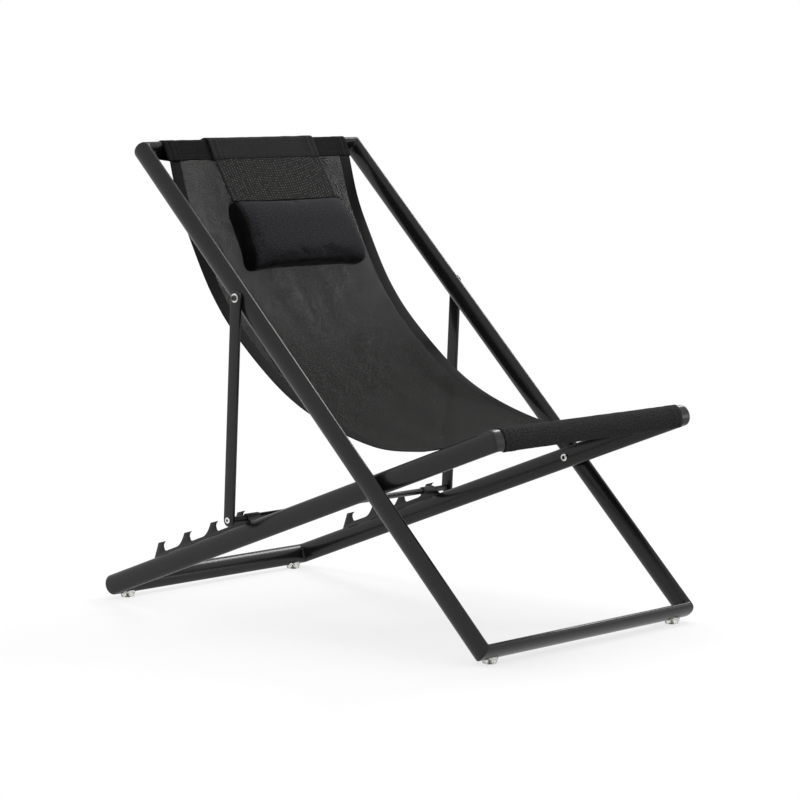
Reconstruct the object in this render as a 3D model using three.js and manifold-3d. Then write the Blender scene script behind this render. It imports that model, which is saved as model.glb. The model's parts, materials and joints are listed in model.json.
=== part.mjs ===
// Folding sling chair: two crossed tube frames, a prop whose rod lies in hooked plates,
// a mesh sling between the top and front bars, and a headrest pillow on a flap.
// Millimetres, +Z up. The sitter faces -Y, so the sitter's right is -X.
// The origin is on the ground, under the middle of the chair's outline.
import * as THREE from 'three';
import { mergeVertices } from 'three/addons/utils/BufferGeometryUtils.js';
import Module from 'manifold-3d';

const wasm = await Module();
wasm.setup();

// Clearance between pieces that touch, and how far a cut runs past its face
const fit = 0.3;
const overrun = 3;

// Tube of both frames: an ellipse, standing on edge
const tubeWidth = 20;
const tubeDepth = 40;
const tubeWall = 1.5;

// Back frame, the outer one: its overall width, and its two bars' distances from the pivot
const backWidth = 606;
const backBelowPivot = 383;
const backAbovePivot = 842;

// Seat frame, which turns inside the back frame
const frameGap = 3;
const seatAheadOfPivot = 296;
const seatBehindPivot = 768;

// Prop: its bolts' distance up the back rail, its length between centres, and its flat bars
const propAttach = 460;
const propLength = 421;
const propWidth = 25;
const propThickness = 7;
const propEdge = 1.6;
const propGap = 1.6;

// Hooked plates on the seat rails, measured from the pivot and up from the rail's middle line
const plateThickness = 3;
const plateInset = 3.5;
const plateLead = 9;
const plateLeadSlope = 5;
const plateRoot = 12;
const hookCount = 4;
const hookPitch = 78.2;
const frontHookAlong = 354.3;
const hookHeight = 46;
const hookTopLength = 20.6;
const hookTipDrop = 1.7;
const hookMiddleDropShare = 0.25;
const hookSlopeLength = 31.3;
const hookSlopeShare = 0.55;
const rearSlopeLength = 22.4;
const notchRise = 4.5;
const notchClearance = 0.4;
const lipInset = 1.1;
const lipDrop = 2.8;

// Rod across the chair, which lies in one pair of hooks
const rodBehindTip = 5.2;
const rodHeight = 31.1;
const pinDiameter = 9;
const rodDiameter = 12;
const collarDiameter = 16;
const collarLength = 33;
const sleeveDiameter = 11;

// Pivot fasteners, one set each side where the frames cross
const pivotShank = 8;
const pivotHead = 14.5;
const pivotHeadHeight = 4;
const pivotSocket = 6;
const pivotSpacerDiameter = 22;
const pivotBarrel = 11.4;
const pivotCrownShare = 0.8;
const pivotRimShare = 0.7;

// Screws of the prop, at its top and at its foot
const screwShank = 6;
const screwReach = 13;
const buttonHead = 11;
const buttonHeight = 4;
const buttonSocket = 4;
const washerDiameter = 17;
const washerThickness = 1.2;
const propSpacerDiameter = 20;
const propBarrel = 9.4;
const footHead = 12;
const footHeadHeight = 2.4;
const socketDepth = 2;
const headRimShare = 0.4;
const buttonCrownShare = 0.5;
const footCrownShare = 0.8;

// Clear glides under the frames, and the screw inside each
const glideDiameter = 32;
const glideBaseDiameter = 24;
const glideLift = 8;
const glideHeight = 12.5;
const glideEdge = 1.2;
const frontGlideInset = 40;
const rearGlideInset = 46;
const glideScrewShank = 4;
const glideScrewHead = 9;
const glideScrewHeadHeight = 2.5;
const glideScrewRecess = 1.5;
const glideScrewReach = 10;

// Sling: its cloth, its widths, and its stitch lines from the bars, along and above the frames
const cloth = 1.5;
const sheetThickness = 2;
const sheetWidth = 500;
const topSleeveWidth = 507;
const frontSleeveWidth = 507;
const stitchFromBar = 36;
const topStitchRise = 8;
const frontStitchRise = 6.4;

// Hanging line of the sling, as shares of the distance between the bars: along it, and below it
const slingShares = [
  [0.098, 0.062],
  [0.161, 0.1065],
  [0.258, 0.1645],
  [0.358, 0.2],
  [0.503, 0.2235],
  [0.625, 0.2155],
  [0.754, 0.181],
  [0.844, 0.13],
  [0.888, 0.094],
];

// Headrest: a loop over the top bar, a flap, and a stuffed pillow that lies on the sling
const headrestOffset = 10.5;
const flapWidth = 290;
const loopOpening = 4;
const pillowDrop = 85;
const pillowSpan = 140;
const pillowStart = 8;
const pillowWidth = 305;
const pillowHeight = 150;
const pillowEndDepth = 47;
const pillowCrown = 61;
const pillowPull = 4;
const flapJoin = 28;
const frontRoundShare = 0.62;
const backRoundShare = 0.3;

// Fineness of round faces
const ovalSegments = 14;
const bendSegments = 6;
const turnedSegments = 20;
const sheetSegments = 28;
const pillowRings = 12;
const pillowRound = 24;
const slopeHalvings = 50;

const frameBlack = new THREE.MeshStandardMaterial({ color: 0x2a2b2d, roughness: 0.45, metalness: 0.4 });
const plateBlack = new THREE.MeshStandardMaterial({ color: 0x232426, roughness: 0.5, metalness: 0.4 });
const steel = new THREE.MeshStandardMaterial({ color: 0xb9bcc0, roughness: 0.3, metalness: 1 });
const darkSteel = new THREE.MeshStandardMaterial({ color: 0x3a3b3d, roughness: 0.35, metalness: 0.9 });
const nylon = new THREE.MeshStandardMaterial({ color: 0x1b1b1c, roughness: 0.6, metalness: 0 });
const clearPlastic = new THREE.MeshStandardMaterial({ color: 0xc9cdca, roughness: 0.2, metalness: 0 });
const slingMesh = new THREE.MeshStandardMaterial({ color: 0x1c1e1d, roughness: 0.85, metalness: 0 });
const sleeveCloth = new THREE.MeshStandardMaterial({ color: 0x18191a, roughness: 0.9, metalness: 0 });
const pillowCloth = new THREE.MeshStandardMaterial({ color: 0x17181b, roughness: 0.9, metalness: 0 });

// Widths that follow from the tube and the gap between the frames
const backRailX = (backWidth - tubeWidth) / 2;
const backInner = backWidth / 2 - tubeWidth;
const seatOuter = backInner - frameGap;
const seatRailX = seatOuter - tubeWidth / 2;
const seatInner = seatOuter - tubeWidth;
const propInner = backWidth / 2 + propGap;
const propOuter = propInner + propThickness;
const plateX = seatRailX - plateInset;
const plateInner = plateX - plateThickness / 2;
const plateOuter = plateX + plateThickness / 2;

// The prop closes a triangle with both rails, which sets the angle between them
const rodAlong = frontHookAlong + rodBehindTip;
const rodReach = Math.hypot(rodAlong, rodHeight);
const propCosine = (propAttach ** 2 + rodReach ** 2 - propLength ** 2) / (2 * propAttach * rodReach);
const openAngle = Math.acos(propCosine) + Math.atan2(rodHeight, rodAlong);

// How far a tilted tube's underside is below its middle line
function tubeDrop(slope) {
  return Math.hypot(tubeDepth / 2 * Math.cos(slope), tubeWidth / 2 * Math.sin(slope));
}

// Both frames stand on their lowest bars: the back's slope is the one that puts both pivots at one height
function standingSlope() {
  let [low, high] = [0, openAngle];
  for (let i = 0; i < slopeHalvings; i += 1) {
    const slope = (low + high) / 2;
    const seat = openAngle - slope;
    const backHeight = tubeDrop(slope) + backBelowPivot * Math.sin(slope);
    const seatHeight = tubeDrop(seat) + seatBehindPivot * Math.sin(seat);
    if (backHeight < seatHeight) low = slope;
    else high = slope;
  }
  return low;
}

const backSlope = standingSlope();
const seatSlope = openAngle - backSlope;
const pivotHeight = glideLift + tubeDrop(backSlope) + backBelowPivot * Math.sin(backSlope);

// One group for each part that moves as one
const chair = new THREE.Group();
const seatFrame = new THREE.Group();
const backFrame = new THREE.Group();
const prop = new THREE.Group();
seatFrame.position.z = pivotHeight;
seatFrame.rotation.x = -seatSlope;
backFrame.position.z = pivotHeight;
backFrame.rotation.x = backSlope;
chair.add(seatFrame, backFrame, prop);
chair.updateMatrixWorld(true);

// A side-view point of a turned frame, as the chair's own (y, z)
function sidePoint(group, along, above) {
  const point = group.localToWorld(new THREE.Vector3(0, along, above));
  return new THREE.Vector2(point.y, point.z);
}

const rodPoint = sidePoint(seatFrame, rodAlong, rodHeight);
const propPoint = sidePoint(backFrame, propAttach, 0);
prop.position.set(0, rodPoint.x, rodPoint.y);
prop.rotation.x = propPoint.clone().sub(rodPoint).angle();

// Shared vertices merged, thin leftovers dropped, and faces turned outwards
function weld(source) {
  const bare = source.index ? source.toNonIndexed() : source.clone();
  bare.deleteAttribute('normal');
  bare.deleteAttribute('uv');
  const merged = mergeVertices(bare);
  const at = (i) => new THREE.Vector3().fromBufferAttribute(merged.attributes.position, i);
  const kept = [];
  let volume = 0;
  for (let i = 0; i < merged.index.count; i += 3) {
    const [a, b, c] = [0, 1, 2].map((k) => merged.index.getX(i + k));
    if (a === b || b === c || c === a) continue;
    kept.push([a, b, c]);
    volume += at(a).dot(at(b).cross(at(c)));
  }
  const outward = kept.map(([a, b, c]) => (volume < 0 ? [a, c, b] : [a, b, c]));
  merged.setIndex(outward.flat());
  return merged;
}

function toSolid(geometry) {
  const welded = weld(geometry);
  const vertProperties = new Float32Array(welded.attributes.position.array);
  const triVerts = new Uint32Array(welded.index.array);
  return new wasm.Manifold(new wasm.Mesh({ numProp: 3, vertProperties, triVerts }));
}

function toGeometry(solid) {
  const mesh = solid.getMesh();
  const geometry = new THREE.BufferGeometry();
  geometry.setAttribute('position', new THREE.BufferAttribute(mesh.vertProperties, 3));
  geometry.setIndex(new THREE.BufferAttribute(mesh.triVerts, 1));
  return geometry;
}

// A named piece in its group; a loose one, without a name, is only a tool for cutting
function place(group, name, geometry, material, x = 0, y = 0, z = 0) {
  const mesh = new THREE.Mesh(weld(geometry), material);
  mesh.name = name;
  mesh.position.set(x, y, z);
  group.add(mesh);
  return mesh;
}

// What the tool's shape covers is taken from the piece, wherever the two are in the chair
function cutAway(piece, group, toolGeometry, x = 0, y = 0, z = 0) {
  const tool = place(group, '', toolGeometry, null, x, y, z);
  piece.updateWorldMatrix(true, false);
  tool.updateWorldMatrix(true, false);
  group.remove(tool);
  const toPiece = piece.matrixWorld.clone().invert().multiply(tool.matrixWorld);
  const cutter = tool.geometry.clone().applyMatrix4(toPiece);
  piece.geometry = weld(toGeometry(toSolid(piece.geometry).subtract(toSolid(cutter))));
}

// Names and directions of the two sides, the sitter's right first
const sides = [['right', -1], ['left', 1]];

function ovalShape(width, depth) {
  const points = new THREE.EllipseCurve(0, 0, width / 2, depth / 2).getPoints(2 * ovalSegments);
  return new THREE.Shape(points.slice(1));
}

// A side-view shape, drawn in (y, z), made solid across the chair and centred on X = 0
function acrossChair(shape, width, edge = 0) {
  const settings = { depth: width - 2 * edge, curveSegments: bendSegments, bevelEnabled: edge > 0 };
  const bevel = { bevelThickness: edge, bevelSize: edge, bevelOffset: -edge, bevelSegments: 2 };
  const geometry = new THREE.ExtrudeGeometry(shape, { ...settings, ...bevel });
  geometry.translate(0, 0, edge - width / 2);
  const [x, y, z] = [[1, 0, 0], [0, 1, 0], [0, 0, 1]].map((v) => new THREE.Vector3(...v));
  return geometry.applyMatrix4(new THREE.Matrix4().makeBasis(y, z, x));
}

// A turned piece from [radius, place] points; its axis is X, and the places grow away from the middle
function turnedAcross(points, side) {
  const profile = points.map(([radius, along]) => new THREE.Vector2(radius, along));
  return new THREE.LatheGeometry(profile, turnedSegments).rotateZ(-side * Math.PI / 2);
}

// The same with an upright axis
function turnedUpright(points) {
  const profile = points.map(([radius, along]) => new THREE.Vector2(radius, along));
  return new THREE.LatheGeometry(profile, turnedSegments).rotateX(Math.PI / 2);
}

function rod(diameter, from, to) {
  const radius = diameter / 2;
  return [[0, from], [radius, from], [radius, to], [0, to]];
}

function ring(diameter, bore, from, to) {
  const [outer, inner] = [diameter / 2, bore / 2];
  return [[inner, from], [outer, from], [outer, to], [inner, to], [inner, from]];
}

// A screw from its head's top inwards: the head is domed when its crown is smaller than its rim
function screw(head, crown, headHeight, shank, top, tip) {
  const seat = top - headHeight;
  return [[0, tip], [shank / 2, tip], [shank / 2, seat], [head / 2, seat],
    [head / 2, seat + headHeight * headRimShare], [crown / 2, top], [0, top]];
}

function cutSocket(piece, group, size, side, top, y, z) {
  const depth = socketDepth + overrun;
  const socket = new THREE.CylinderGeometry(size / 2, size / 2, depth, 6).rotateZ(Math.PI / 2);
  cutAway(piece, group, socket, side * (top - socketDepth + depth / 2), y, z);
}

// A hollow tube along +Y whose ends are cut at 45 degrees, longest on its +X side
function mitredTube(length) {
  const shape = ovalShape(tubeWidth, tubeDepth);
  shape.holes.push(ovalShape(tubeWidth - 2 * tubeWall, tubeDepth - 2 * tubeWall));
  const settings = { depth: length, bevelEnabled: false };
  const geometry = new THREE.ExtrudeGeometry(shape, settings).rotateX(-Math.PI / 2);
  const points = geometry.attributes.position;
  const back = fit / Math.SQRT2;
  for (let i = 0; i < points.count; i += 1) {
    const end = points.getY(i) > length / 2 ? 1 : -1;
    points.setY(i, points.getY(i) + end * (points.getX(i) - back));
  }
  return geometry;
}

// Four mitred tubes round a frame, given its rails' middle lines and its bars' places
function addFrame(group, prefix, lowBar, highBar, railX, low, high) {
  const rails = {};
  const length = high - low;
  for (const [name, side] of sides) {
    const start = side > 0 ? low : high;
    const rail = place(group, `${prefix}_rail_${name}`, mitredTube(length), frameBlack, side * railX, start);
    rail.rotation.z = side > 0 ? 0 : Math.PI;
    rails[name] = rail;
  }
  const lower = place(group, lowBar, mitredTube(2 * railX), frameBlack, -railX, low);
  lower.rotation.z = -Math.PI / 2;
  const upper = place(group, highBar, mitredTube(2 * railX), frameBlack, railX, high);
  upper.rotation.z = Math.PI / 2;
  return { rails, lower, upper };
}

const seat = addFrame(seatFrame, 'seat', 'seat_front_bar', 'seat_rear_bar',
  seatRailX, -seatAheadOfPivot, seatBehindPivot);
const back = addFrame(backFrame, 'back', 'back_bottom_bar', 'back_top_bar',
  backRailX, -backBelowPivot, backAbovePivot);

// The frames' pivots: the bolt's head is inside the seat rail, and its insert is in the back rail
function addPivot(name, side) {
  const headTop = seatInner - fit - pivotHeadHeight;
  const tip = backWidth / 2 - tubeWall - 2 * fit;
  const bore = pivotShank + 2 * fit;
  const rim = seatInner - fit - pivotHeadHeight * pivotRimShare;
  const shank = [[0, headTop], [pivotHead / 2 * pivotCrownShare, headTop], [pivotHead / 2, rim],
    [pivotHead / 2, seatInner - fit], [pivotShank / 2, seatInner - fit], [pivotShank / 2, tip], [0, tip]];
  const bolt = place(backFrame, `pivot_bolt_${name}`, turnedAcross(shank, side), steel);
  cutSocket(bolt, backFrame, pivotSocket, -side, -headTop, 0, 0);
  const spacer = ring(pivotSpacerDiameter, bore, seatOuter + fit, backInner - fit);
  place(seatFrame, `pivot_spacer_${name}`, turnedAcross(spacer, side), nylon);
  const insert = ring(pivotBarrel, bore, backInner, tip - fit);
  place(backFrame, `pivot_insert_${name}`, turnedAcross(insert, side), steel);
  cutAway(seat.rails[name], seatFrame, turnedAcross(rod(bore, seatInner - overrun, seatOuter + overrun), side));
  const insertHole = rod(pivotBarrel + 2 * fit, backInner - overrun, backRailX);
  cutAway(back.rails[name], backFrame, turnedAcross(insertHole, side));
}

// Side view of a hooked plate: the rod's notch behind each tip, and a hollow slope behind each hook
function hookedPlateShape() {
  const radius = pinDiameter / 2 + notchClearance;
  const floor = rodHeight - radius;
  const tipHeight = hookHeight - hookTipDrop;
  const shape = new THREE.Shape();
  shape.moveTo(frontHookAlong - plateLead, plateRoot);
  shape.lineTo(frontHookAlong - plateLead, tubeDepth / 2 + fit);
  shape.lineTo(frontHookAlong - plateLead + plateLeadSlope, floor);
  for (let i = 0; i < hookCount; i += 1) {
    const tip = frontHookAlong + i * hookPitch;
    const notchRear = tip + rodBehindTip + radius;
    shape.lineTo(tip + rodBehindTip, floor);
    shape.absarc(tip + rodBehindTip, rodHeight, radius, -Math.PI / 2, 0);
    shape.lineTo(notchRear, rodHeight + notchRise);
    shape.quadraticCurveTo(notchRear - lipInset, tipHeight - lipDrop, tip, tipHeight);
    shape.lineTo(tip + hookTopLength / 2, hookHeight - hookTipDrop * hookMiddleDropShare);
    shape.lineTo(tip + hookTopLength, hookHeight);
    if (i < hookCount - 1) {
      const control = tip + hookTopLength + hookSlopeLength * hookSlopeShare;
      shape.quadraticCurveTo(control, floor, tip + hookTopLength + hookSlopeLength, floor);
    } else {
      shape.lineTo(tip + hookTopLength + rearSlopeLength, tubeDepth / 2 - fit);
      shape.lineTo(tip + hookTopLength + rearSlopeLength, plateRoot);
    }
  }
  shape.closePath();
  return shape;
}

function addHookPlate(name, side) {
  const plate = place(seatFrame, `hook_plate_${name}`, acrossChair(hookedPlateShape(), plateThickness),
    plateBlack, side * plateX);
  const railOutline = ovalShape(tubeWidth + 2 * fit, tubeDepth + 2 * fit);
  const length = seatAheadOfPivot + seatBehindPivot;
  const settings = { depth: length, bevelEnabled: false };
  const rail = new THREE.ExtrudeGeometry(railOutline, settings).rotateX(-Math.PI / 2);
  cutAway(plate, seatFrame, rail, side * seatRailX, -seatAheadOfPivot, 0);
}

// The lowest point of a frame's bar, as the chair's own (y, z)
function barUnderside(group, barAlong) {
  const slope = group.rotation.x;
  const along = -((tubeWidth / 2) ** 2) * Math.sin(slope) / tubeDrop(slope);
  const above = -((tubeDepth / 2) ** 2) * Math.cos(slope) / tubeDrop(slope);
  return sidePoint(group, barAlong + along, above);
}

// A clear glide under a bar, hollowed to the bar's shape, with its screw up into the bar
function addGlide(name, group, bar, side, x, barAlong) {
  const under = barUnderside(group, barAlong);
  const [radius, base, top, edge] = [glideDiameter / 2, glideBaseDiameter / 2, glideHeight, glideEdge];
  const body = [[0, 0], [base - edge, 0], [base, edge], [radius, top - edge], [radius - edge, top], [0, top]];
  const glide = place(chair, name, turnedUpright(body), clearPlastic, side * x, under.x, 0);
  const saddle = acrossChair(ovalShape(tubeWidth + 2 * fit, tubeDepth + 2 * fit), glideDiameter + 2 * overrun);
  cutAway(glide, group, saddle, side * x, barAlong, 0);
  const headTop = glideScrewRecess + glideScrewHeadHeight;
  const shaft = glideScrewShank + 2 * fit;
  const recess = glideScrewHead + 2 * fit;
  cutAway(glide, chair, turnedUpright(rod(recess, -overrun, headTop + fit)), side * x, under.x, 0);
  const tip = under.y + glideScrewReach;
  const shaftHole = turnedUpright(rod(shaft, -overrun, tip + fit));
  cutAway(glide, chair, shaftHole, side * x, under.x, 0);
  cutAway(bar, chair, shaftHole, side * x, under.x, 0);
  const shank = [[0, glideScrewRecess], [glideScrewHead / 2, glideScrewRecess], [glideScrewHead / 2, headTop],
    [glideScrewShank / 2, headTop], [glideScrewShank / 2, tip], [0, tip]];
  place(chair, name.replace('foot', 'foot_screw'), turnedUpright(shank), darkSteel, side * x, under.x, 0);
}

// The prop: two flat bars outside the back rails, bolted to them and joined by the rod in the hooks
function addPropSide(name, side) {
  const bore = screwShank + 2 * fit;
  const outline = new THREE.Shape();
  outline.absarc(0, 0, propWidth / 2, Math.PI / 2, 3 * Math.PI / 2);
  outline.absarc(propLength, 0, propWidth / 2, -Math.PI / 2, Math.PI / 2);
  outline.closePath();
  const barX = side * (propInner + propOuter) / 2;
  const bar = place(prop, `prop_bar_${name}`, acrossChair(outline, propThickness, propEdge), frameBlack, barX);
  const hole = turnedAcross(rod(bore, propInner - overrun, propOuter + overrun), side);
  cutAway(bar, prop, hole, 0, 0, 0);
  cutAway(bar, prop, hole, 0, propLength, 0);

  const sleeve = ring(sleeveDiameter, pinDiameter + 2 * fit, plateOuter + fit, propInner - fit);
  place(prop, `rod_sleeve_${name}`, turnedAcross(sleeve, side), nylon);
  const collarEnd = plateInner - fit;
  const collar = ring(collarDiameter, pinDiameter + 2 * fit, collarEnd - collarLength, collarEnd);
  place(prop, `prop_collar_${name}`, turnedAcross(collar, side), nylon);
  const footTop = propOuter + fit + footHeadHeight;
  const footTip = propInner - screwReach;
  const footScrew = place(prop, `rod_screw_${name}`,
    turnedAcross(screw(footHead, footHead * footCrownShare, footHeadHeight, screwShank, footTop, footTip), side),
    steel);
  cutSocket(footScrew, prop, buttonSocket, side, footTop, 0, 0);

  const spacer = ring(propSpacerDiameter, bore, backWidth / 2 + fit, propInner - fit);
  place(prop, `prop_spacer_${name}`, turnedAcross(spacer, side), nylon, 0, propLength);
  const washerFace = propOuter + fit + washerThickness;
  const washer = ring(washerDiameter, bore, propOuter + fit, washerFace);
  place(prop, `prop_washer_${name}`, turnedAcross(washer, side), steel, 0, propLength);
  const boltTop = washerFace + fit + buttonHeight;
  const bolt = place(prop, `prop_bolt_${name}`,
    turnedAcross(screw(buttonHead, buttonHead * buttonCrownShare, buttonHeight, screwShank, boltTop,
      backWidth / 2 + fit), side), darkSteel, 0, propLength);
  cutSocket(bolt, prop, buttonSocket, side, boltTop, propLength, 0);

  const barrel = ring(propBarrel, bore, backRailX - tubeWall, backWidth / 2);
  place(backFrame, `prop_insert_${name}`, turnedAcross(barrel, side), steel, 0, propAttach);
  const barrelHole = turnedAcross(rod(propBarrel + 2 * fit, backRailX, backWidth / 2 + overrun), side);
  cutAway(back.rails[name], backFrame, barrelHole, 0, propAttach, 0);
}

// The rod is thick between its collars and thin through them and the hooks, with a blind hole in each end
function addRod() {
  const end = propInner - fit;
  const shoulder = plateInner - 2 * fit - collarLength;
  const holeEnd = propInner - screwReach - fit;
  const bore = screwShank / 2 + fit;
  const half = [[rodDiameter / 2, shoulder], [pinDiameter / 2, shoulder], [pinDiameter / 2, end],
    [bore, end], [bore, holeEnd], [0, holeEnd]];
  const mirrored = half.map(([radius, place]) => [radius, -place]).reverse();
  place(prop, 'prop_rod', turnedAcross([...mirrored, ...half], 1), frameBlack);
}

// The outline round all the points, in order
function hull(points) {
  const sorted = [...points].sort((a, b) => a.x - b.x || a.y - b.y);
  const half = (list) => {
    const kept = [];
    for (const p of list) {
      while (kept.length > 1) {
        const [a, b] = kept.slice(-2);
        if ((b.x - a.x) * (p.y - a.y) - (b.y - a.y) * (p.x - a.x) > 0) break;
        kept.pop();
      }
      kept.push(p);
    }
    return kept.slice(0, -1);
  };
  return [...half(sorted), ...half(sorted.reverse())];
}

// Outline of cloth round a bar, drawn together at its stitch; offset is the cloth's distance from the tube
function sleeveOutline(offset, stitchAlong, stitchRise) {
  const oval = ovalShape(tubeWidth + 2 * offset, tubeDepth + 2 * offset).getPoints();
  const tip = new THREE.Path().absarc(stitchAlong, stitchRise, offset, 0, 2 * Math.PI).getPoints(4);
  return hull([...oval, ...tip].map((p) => new THREE.Vector2(p.x, p.y)));
}

// The oval is drawn with its depth along the second axis, which is up from the frame
function sleeveGeometry(innerOffset, stitchAlong, stitchRise, width) {
  const shape = new THREE.Shape(sleeveOutline(innerOffset + cloth, stitchAlong, stitchRise));
  shape.holes.push(new THREE.Path(sleeveOutline(innerOffset, stitchAlong, stitchRise)));
  return acrossChair(shape, width);
}

// A strip of cloth along a side-view path, with a round start where it is stitched or hinged
function clothStrip(points, thickness, width) {
  const radius = thickness / 2;
  const along = (i) => {
    const from = points[Math.max(i - 1, 0)];
    const to = points[Math.min(i + 1, points.length - 1)];
    return to.clone().sub(from).normalize();
  };
  const offset = (p, i, side) => {
    const d = along(i);
    return new THREE.Vector2(p.x - d.y * side * radius, p.y + d.x * side * radius);
  };
  const upper = points.map((p, i) => offset(p, i, 1));
  const lower = points.map((p, i) => offset(p, i, -1)).reverse();
  const nose = points[0].clone().addScaledVector(along(0), -radius);
  return acrossChair(new THREE.Shape([...upper, ...lower, nose]), width);
}

const topBar = sidePoint(backFrame, backAbovePivot, 0);
const frontBar = sidePoint(seatFrame, -seatAheadOfPivot, 0);
const topStitch = sidePoint(backFrame, backAbovePivot - stitchFromBar, topStitchRise);
const frontStitch = sidePoint(seatFrame, stitchFromBar - seatAheadOfPivot, frontStitchRise);

// The sling's line from the top stitch down to the front one
function slingCurve() {
  const chord = frontBar.clone().sub(topBar);
  const below = new THREE.Vector2(-chord.y, chord.x);
  const hang = slingShares.map(([alongShare, belowShare]) => (
    topBar.clone().addScaledVector(chord, alongShare).addScaledVector(below, belowShare)));
  return new THREE.SplineCurve([topStitch, ...hang, frontStitch]);
}

const sling = slingCurve();
const slingLength = sling.getLength();

function addSling() {
  const topSleeve = sleeveGeometry(fit, -stitchFromBar, topStitchRise, topSleeveWidth);
  place(backFrame, 'sling_top_sleeve', topSleeve, sleeveCloth, 0, backAbovePivot);
  const frontSleeve = sleeveGeometry(fit, stitchFromBar, frontStitchRise, frontSleeveWidth);
  place(seatFrame, 'sling_front_sleeve', frontSleeve, sleeveCloth, 0, -seatAheadOfPivot);
  const margin = (2 * fit + cloth + sheetThickness / 2) / slingLength;
  const points = [];
  for (let i = 0; i <= sheetSegments; i += 1) {
    points.push(sling.getPointAt(margin + (1 - 2 * margin) * i / sheetSegments));
  }
  place(chair, 'sling_sheet', clothStrip(points, sheetThickness, sheetWidth), slingMesh);
}

// Where the pillow lies on the sling: an origin, its direction down the sling, and its way out
const pillowFoot = sling.getPointAt(pillowDrop / slingLength);
const pillowDown = sling.getPointAt((pillowDrop + pillowSpan) / slingLength).sub(pillowFoot).normalize();
const pillowOut = new THREE.Vector2(pillowDown.y, -pillowDown.x);

function onPillow(down, out) {
  return pillowFoot.clone().addScaledVector(pillowDown, down).addScaledVector(pillowOut, out);
}

// A rounded box that stands proud in its middle and is drawn in between its corners
function pillowGeometry() {
  const rest = sheetThickness / 2 + fit;
  const positions = [];
  const index = [];
  const bend = (value, share) => Math.sign(value) * Math.abs(value) ** share;
  for (let i = 0; i <= pillowRings; i += 1) {
    const share = Math.sin(Math.PI * (i / pillowRings - 0.5));
    const middle = 1 - share ** 2;
    const depth = pillowEndDepth + (pillowCrown - pillowEndDepth) * Math.sqrt(middle);
    const height = pillowHeight - 2 * pillowPull * middle;
    for (let k = 0; k < pillowRound; k += 1) {
      const angle = 2 * Math.PI * k / pillowRound;
      const round = Math.sin(angle) > 0 ? frontRoundShare : backRoundShare;
      const down = pillowStart + (pillowHeight + height * bend(Math.cos(angle), round)) / 2;
      const out = rest + depth * (1 + bend(Math.sin(angle), round)) / 2;
      const drawn = pillowPull * Math.sin(angle) ** 2;
      const point = onPillow(down, out);
      positions.push(share * (pillowWidth / 2 - drawn), point.x, point.y);
    }
  }
  const quad = (a, b, c, d) => index.push(a, b, c, a, c, d);
  for (let i = 0; i < pillowRings; i += 1) {
    for (let k = 0; k < pillowRound; k += 1) {
      const next = (k + 1) % pillowRound;
      quad(i * pillowRound + k, i * pillowRound + next, (i + 1) * pillowRound + next, (i + 1) * pillowRound + k);
    }
  }
  const last = pillowRings * pillowRound;
  for (let k = 1; k < pillowRound - 1; k += 1) {
    index.push(0, k + 1, k);
    index.push(last, last + k, last + k + 1);
  }
  const geometry = new THREE.BufferGeometry();
  geometry.setAttribute('position', new THREE.Float32BufferAttribute(positions, 3));
  geometry.setIndex(index);
  return geometry;
}

// The flap turns about the end of the loop's front layer
const loopOffset = 2 * fit + cloth;
const flapHinge = sidePoint(backFrame, backAbovePivot - stitchFromBar + loopOpening - fit - cloth / 2,
  topStitchRise + loopOffset + cloth + fit);

function addHeadrest() {
  const loopGeometry = sleeveGeometry(loopOffset, -stitchFromBar, topStitchRise, flapWidth);
  const loop = place(backFrame, 'headrest_loop', loopGeometry, sleeveCloth, headrestOffset, backAbovePivot);
  const slot = new THREE.BoxGeometry(flapWidth + overrun, tubeDepth, tubeDepth);
  cutAway(loop, backFrame, slot, headrestOffset, backAbovePivot - stitchFromBar + loopOpening - tubeDepth / 2,
    topStitchRise);
  const join = onPillow(pillowStart, flapJoin);
  const path = new THREE.LineCurve(flapHinge, join).getPoints(4);
  place(chair, 'headrest_flap', clothStrip(path, cloth, flapWidth), slingMesh, headrestOffset);
  place(chair, 'headrest_pillow', pillowGeometry(), pillowCloth, headrestOffset);
}

for (const [name, side] of sides) {
  addPivot(name, side);
  addHookPlate(name, side);
  addPropSide(name, side);
  const frontX = backWidth / 2 - frontGlideInset;
  const rearX = seatOuter - rearGlideInset;
  addGlide(`front_foot_${name}`, backFrame, back.lower, side, frontX, -backBelowPivot);
  addGlide(`rear_foot_${name}`, seatFrame, seat.upper, side, rearX, seatBehindPivot);
}
addRod();
addSling();
addHeadrest();

// The whole chair moves so that its outline is centred on the origin
chair.updateMatrixWorld(true);
const outline = new THREE.Box3().setFromObject(chair, true);
chair.position.y = -(outline.min.y + outline.max.y) / 2;
chair.updateMatrixWorld(true);

// Side-view places of the hinges, for whoever moves the chair
const shifted = (p) => [p.x + chair.position.y, p.y];
chair.userData.hinges = {
  recline: [chair.position.y, pivotHeight],
  propRod: shifted(rodPoint),
  propBolt: shifted(propPoint),
  headrest: shifted(flapHinge),
  backSlope,
  seatSlope,
  openAngle,
};

export default chair;
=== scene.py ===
"""Looks of the folding sling chair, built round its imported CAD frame, in metres.

The sitter faces -Y, so the sitter's right is -X. A tilted frame has its own axes: across the
chair, along its rails from the main pivot, and above them.
"""
import json
import math

import bmesh
import bpy
import numpy as np
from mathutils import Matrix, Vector
from mathutils.geometry import convex_hull_2d
from mathutils.kdtree import KDTree

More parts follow.
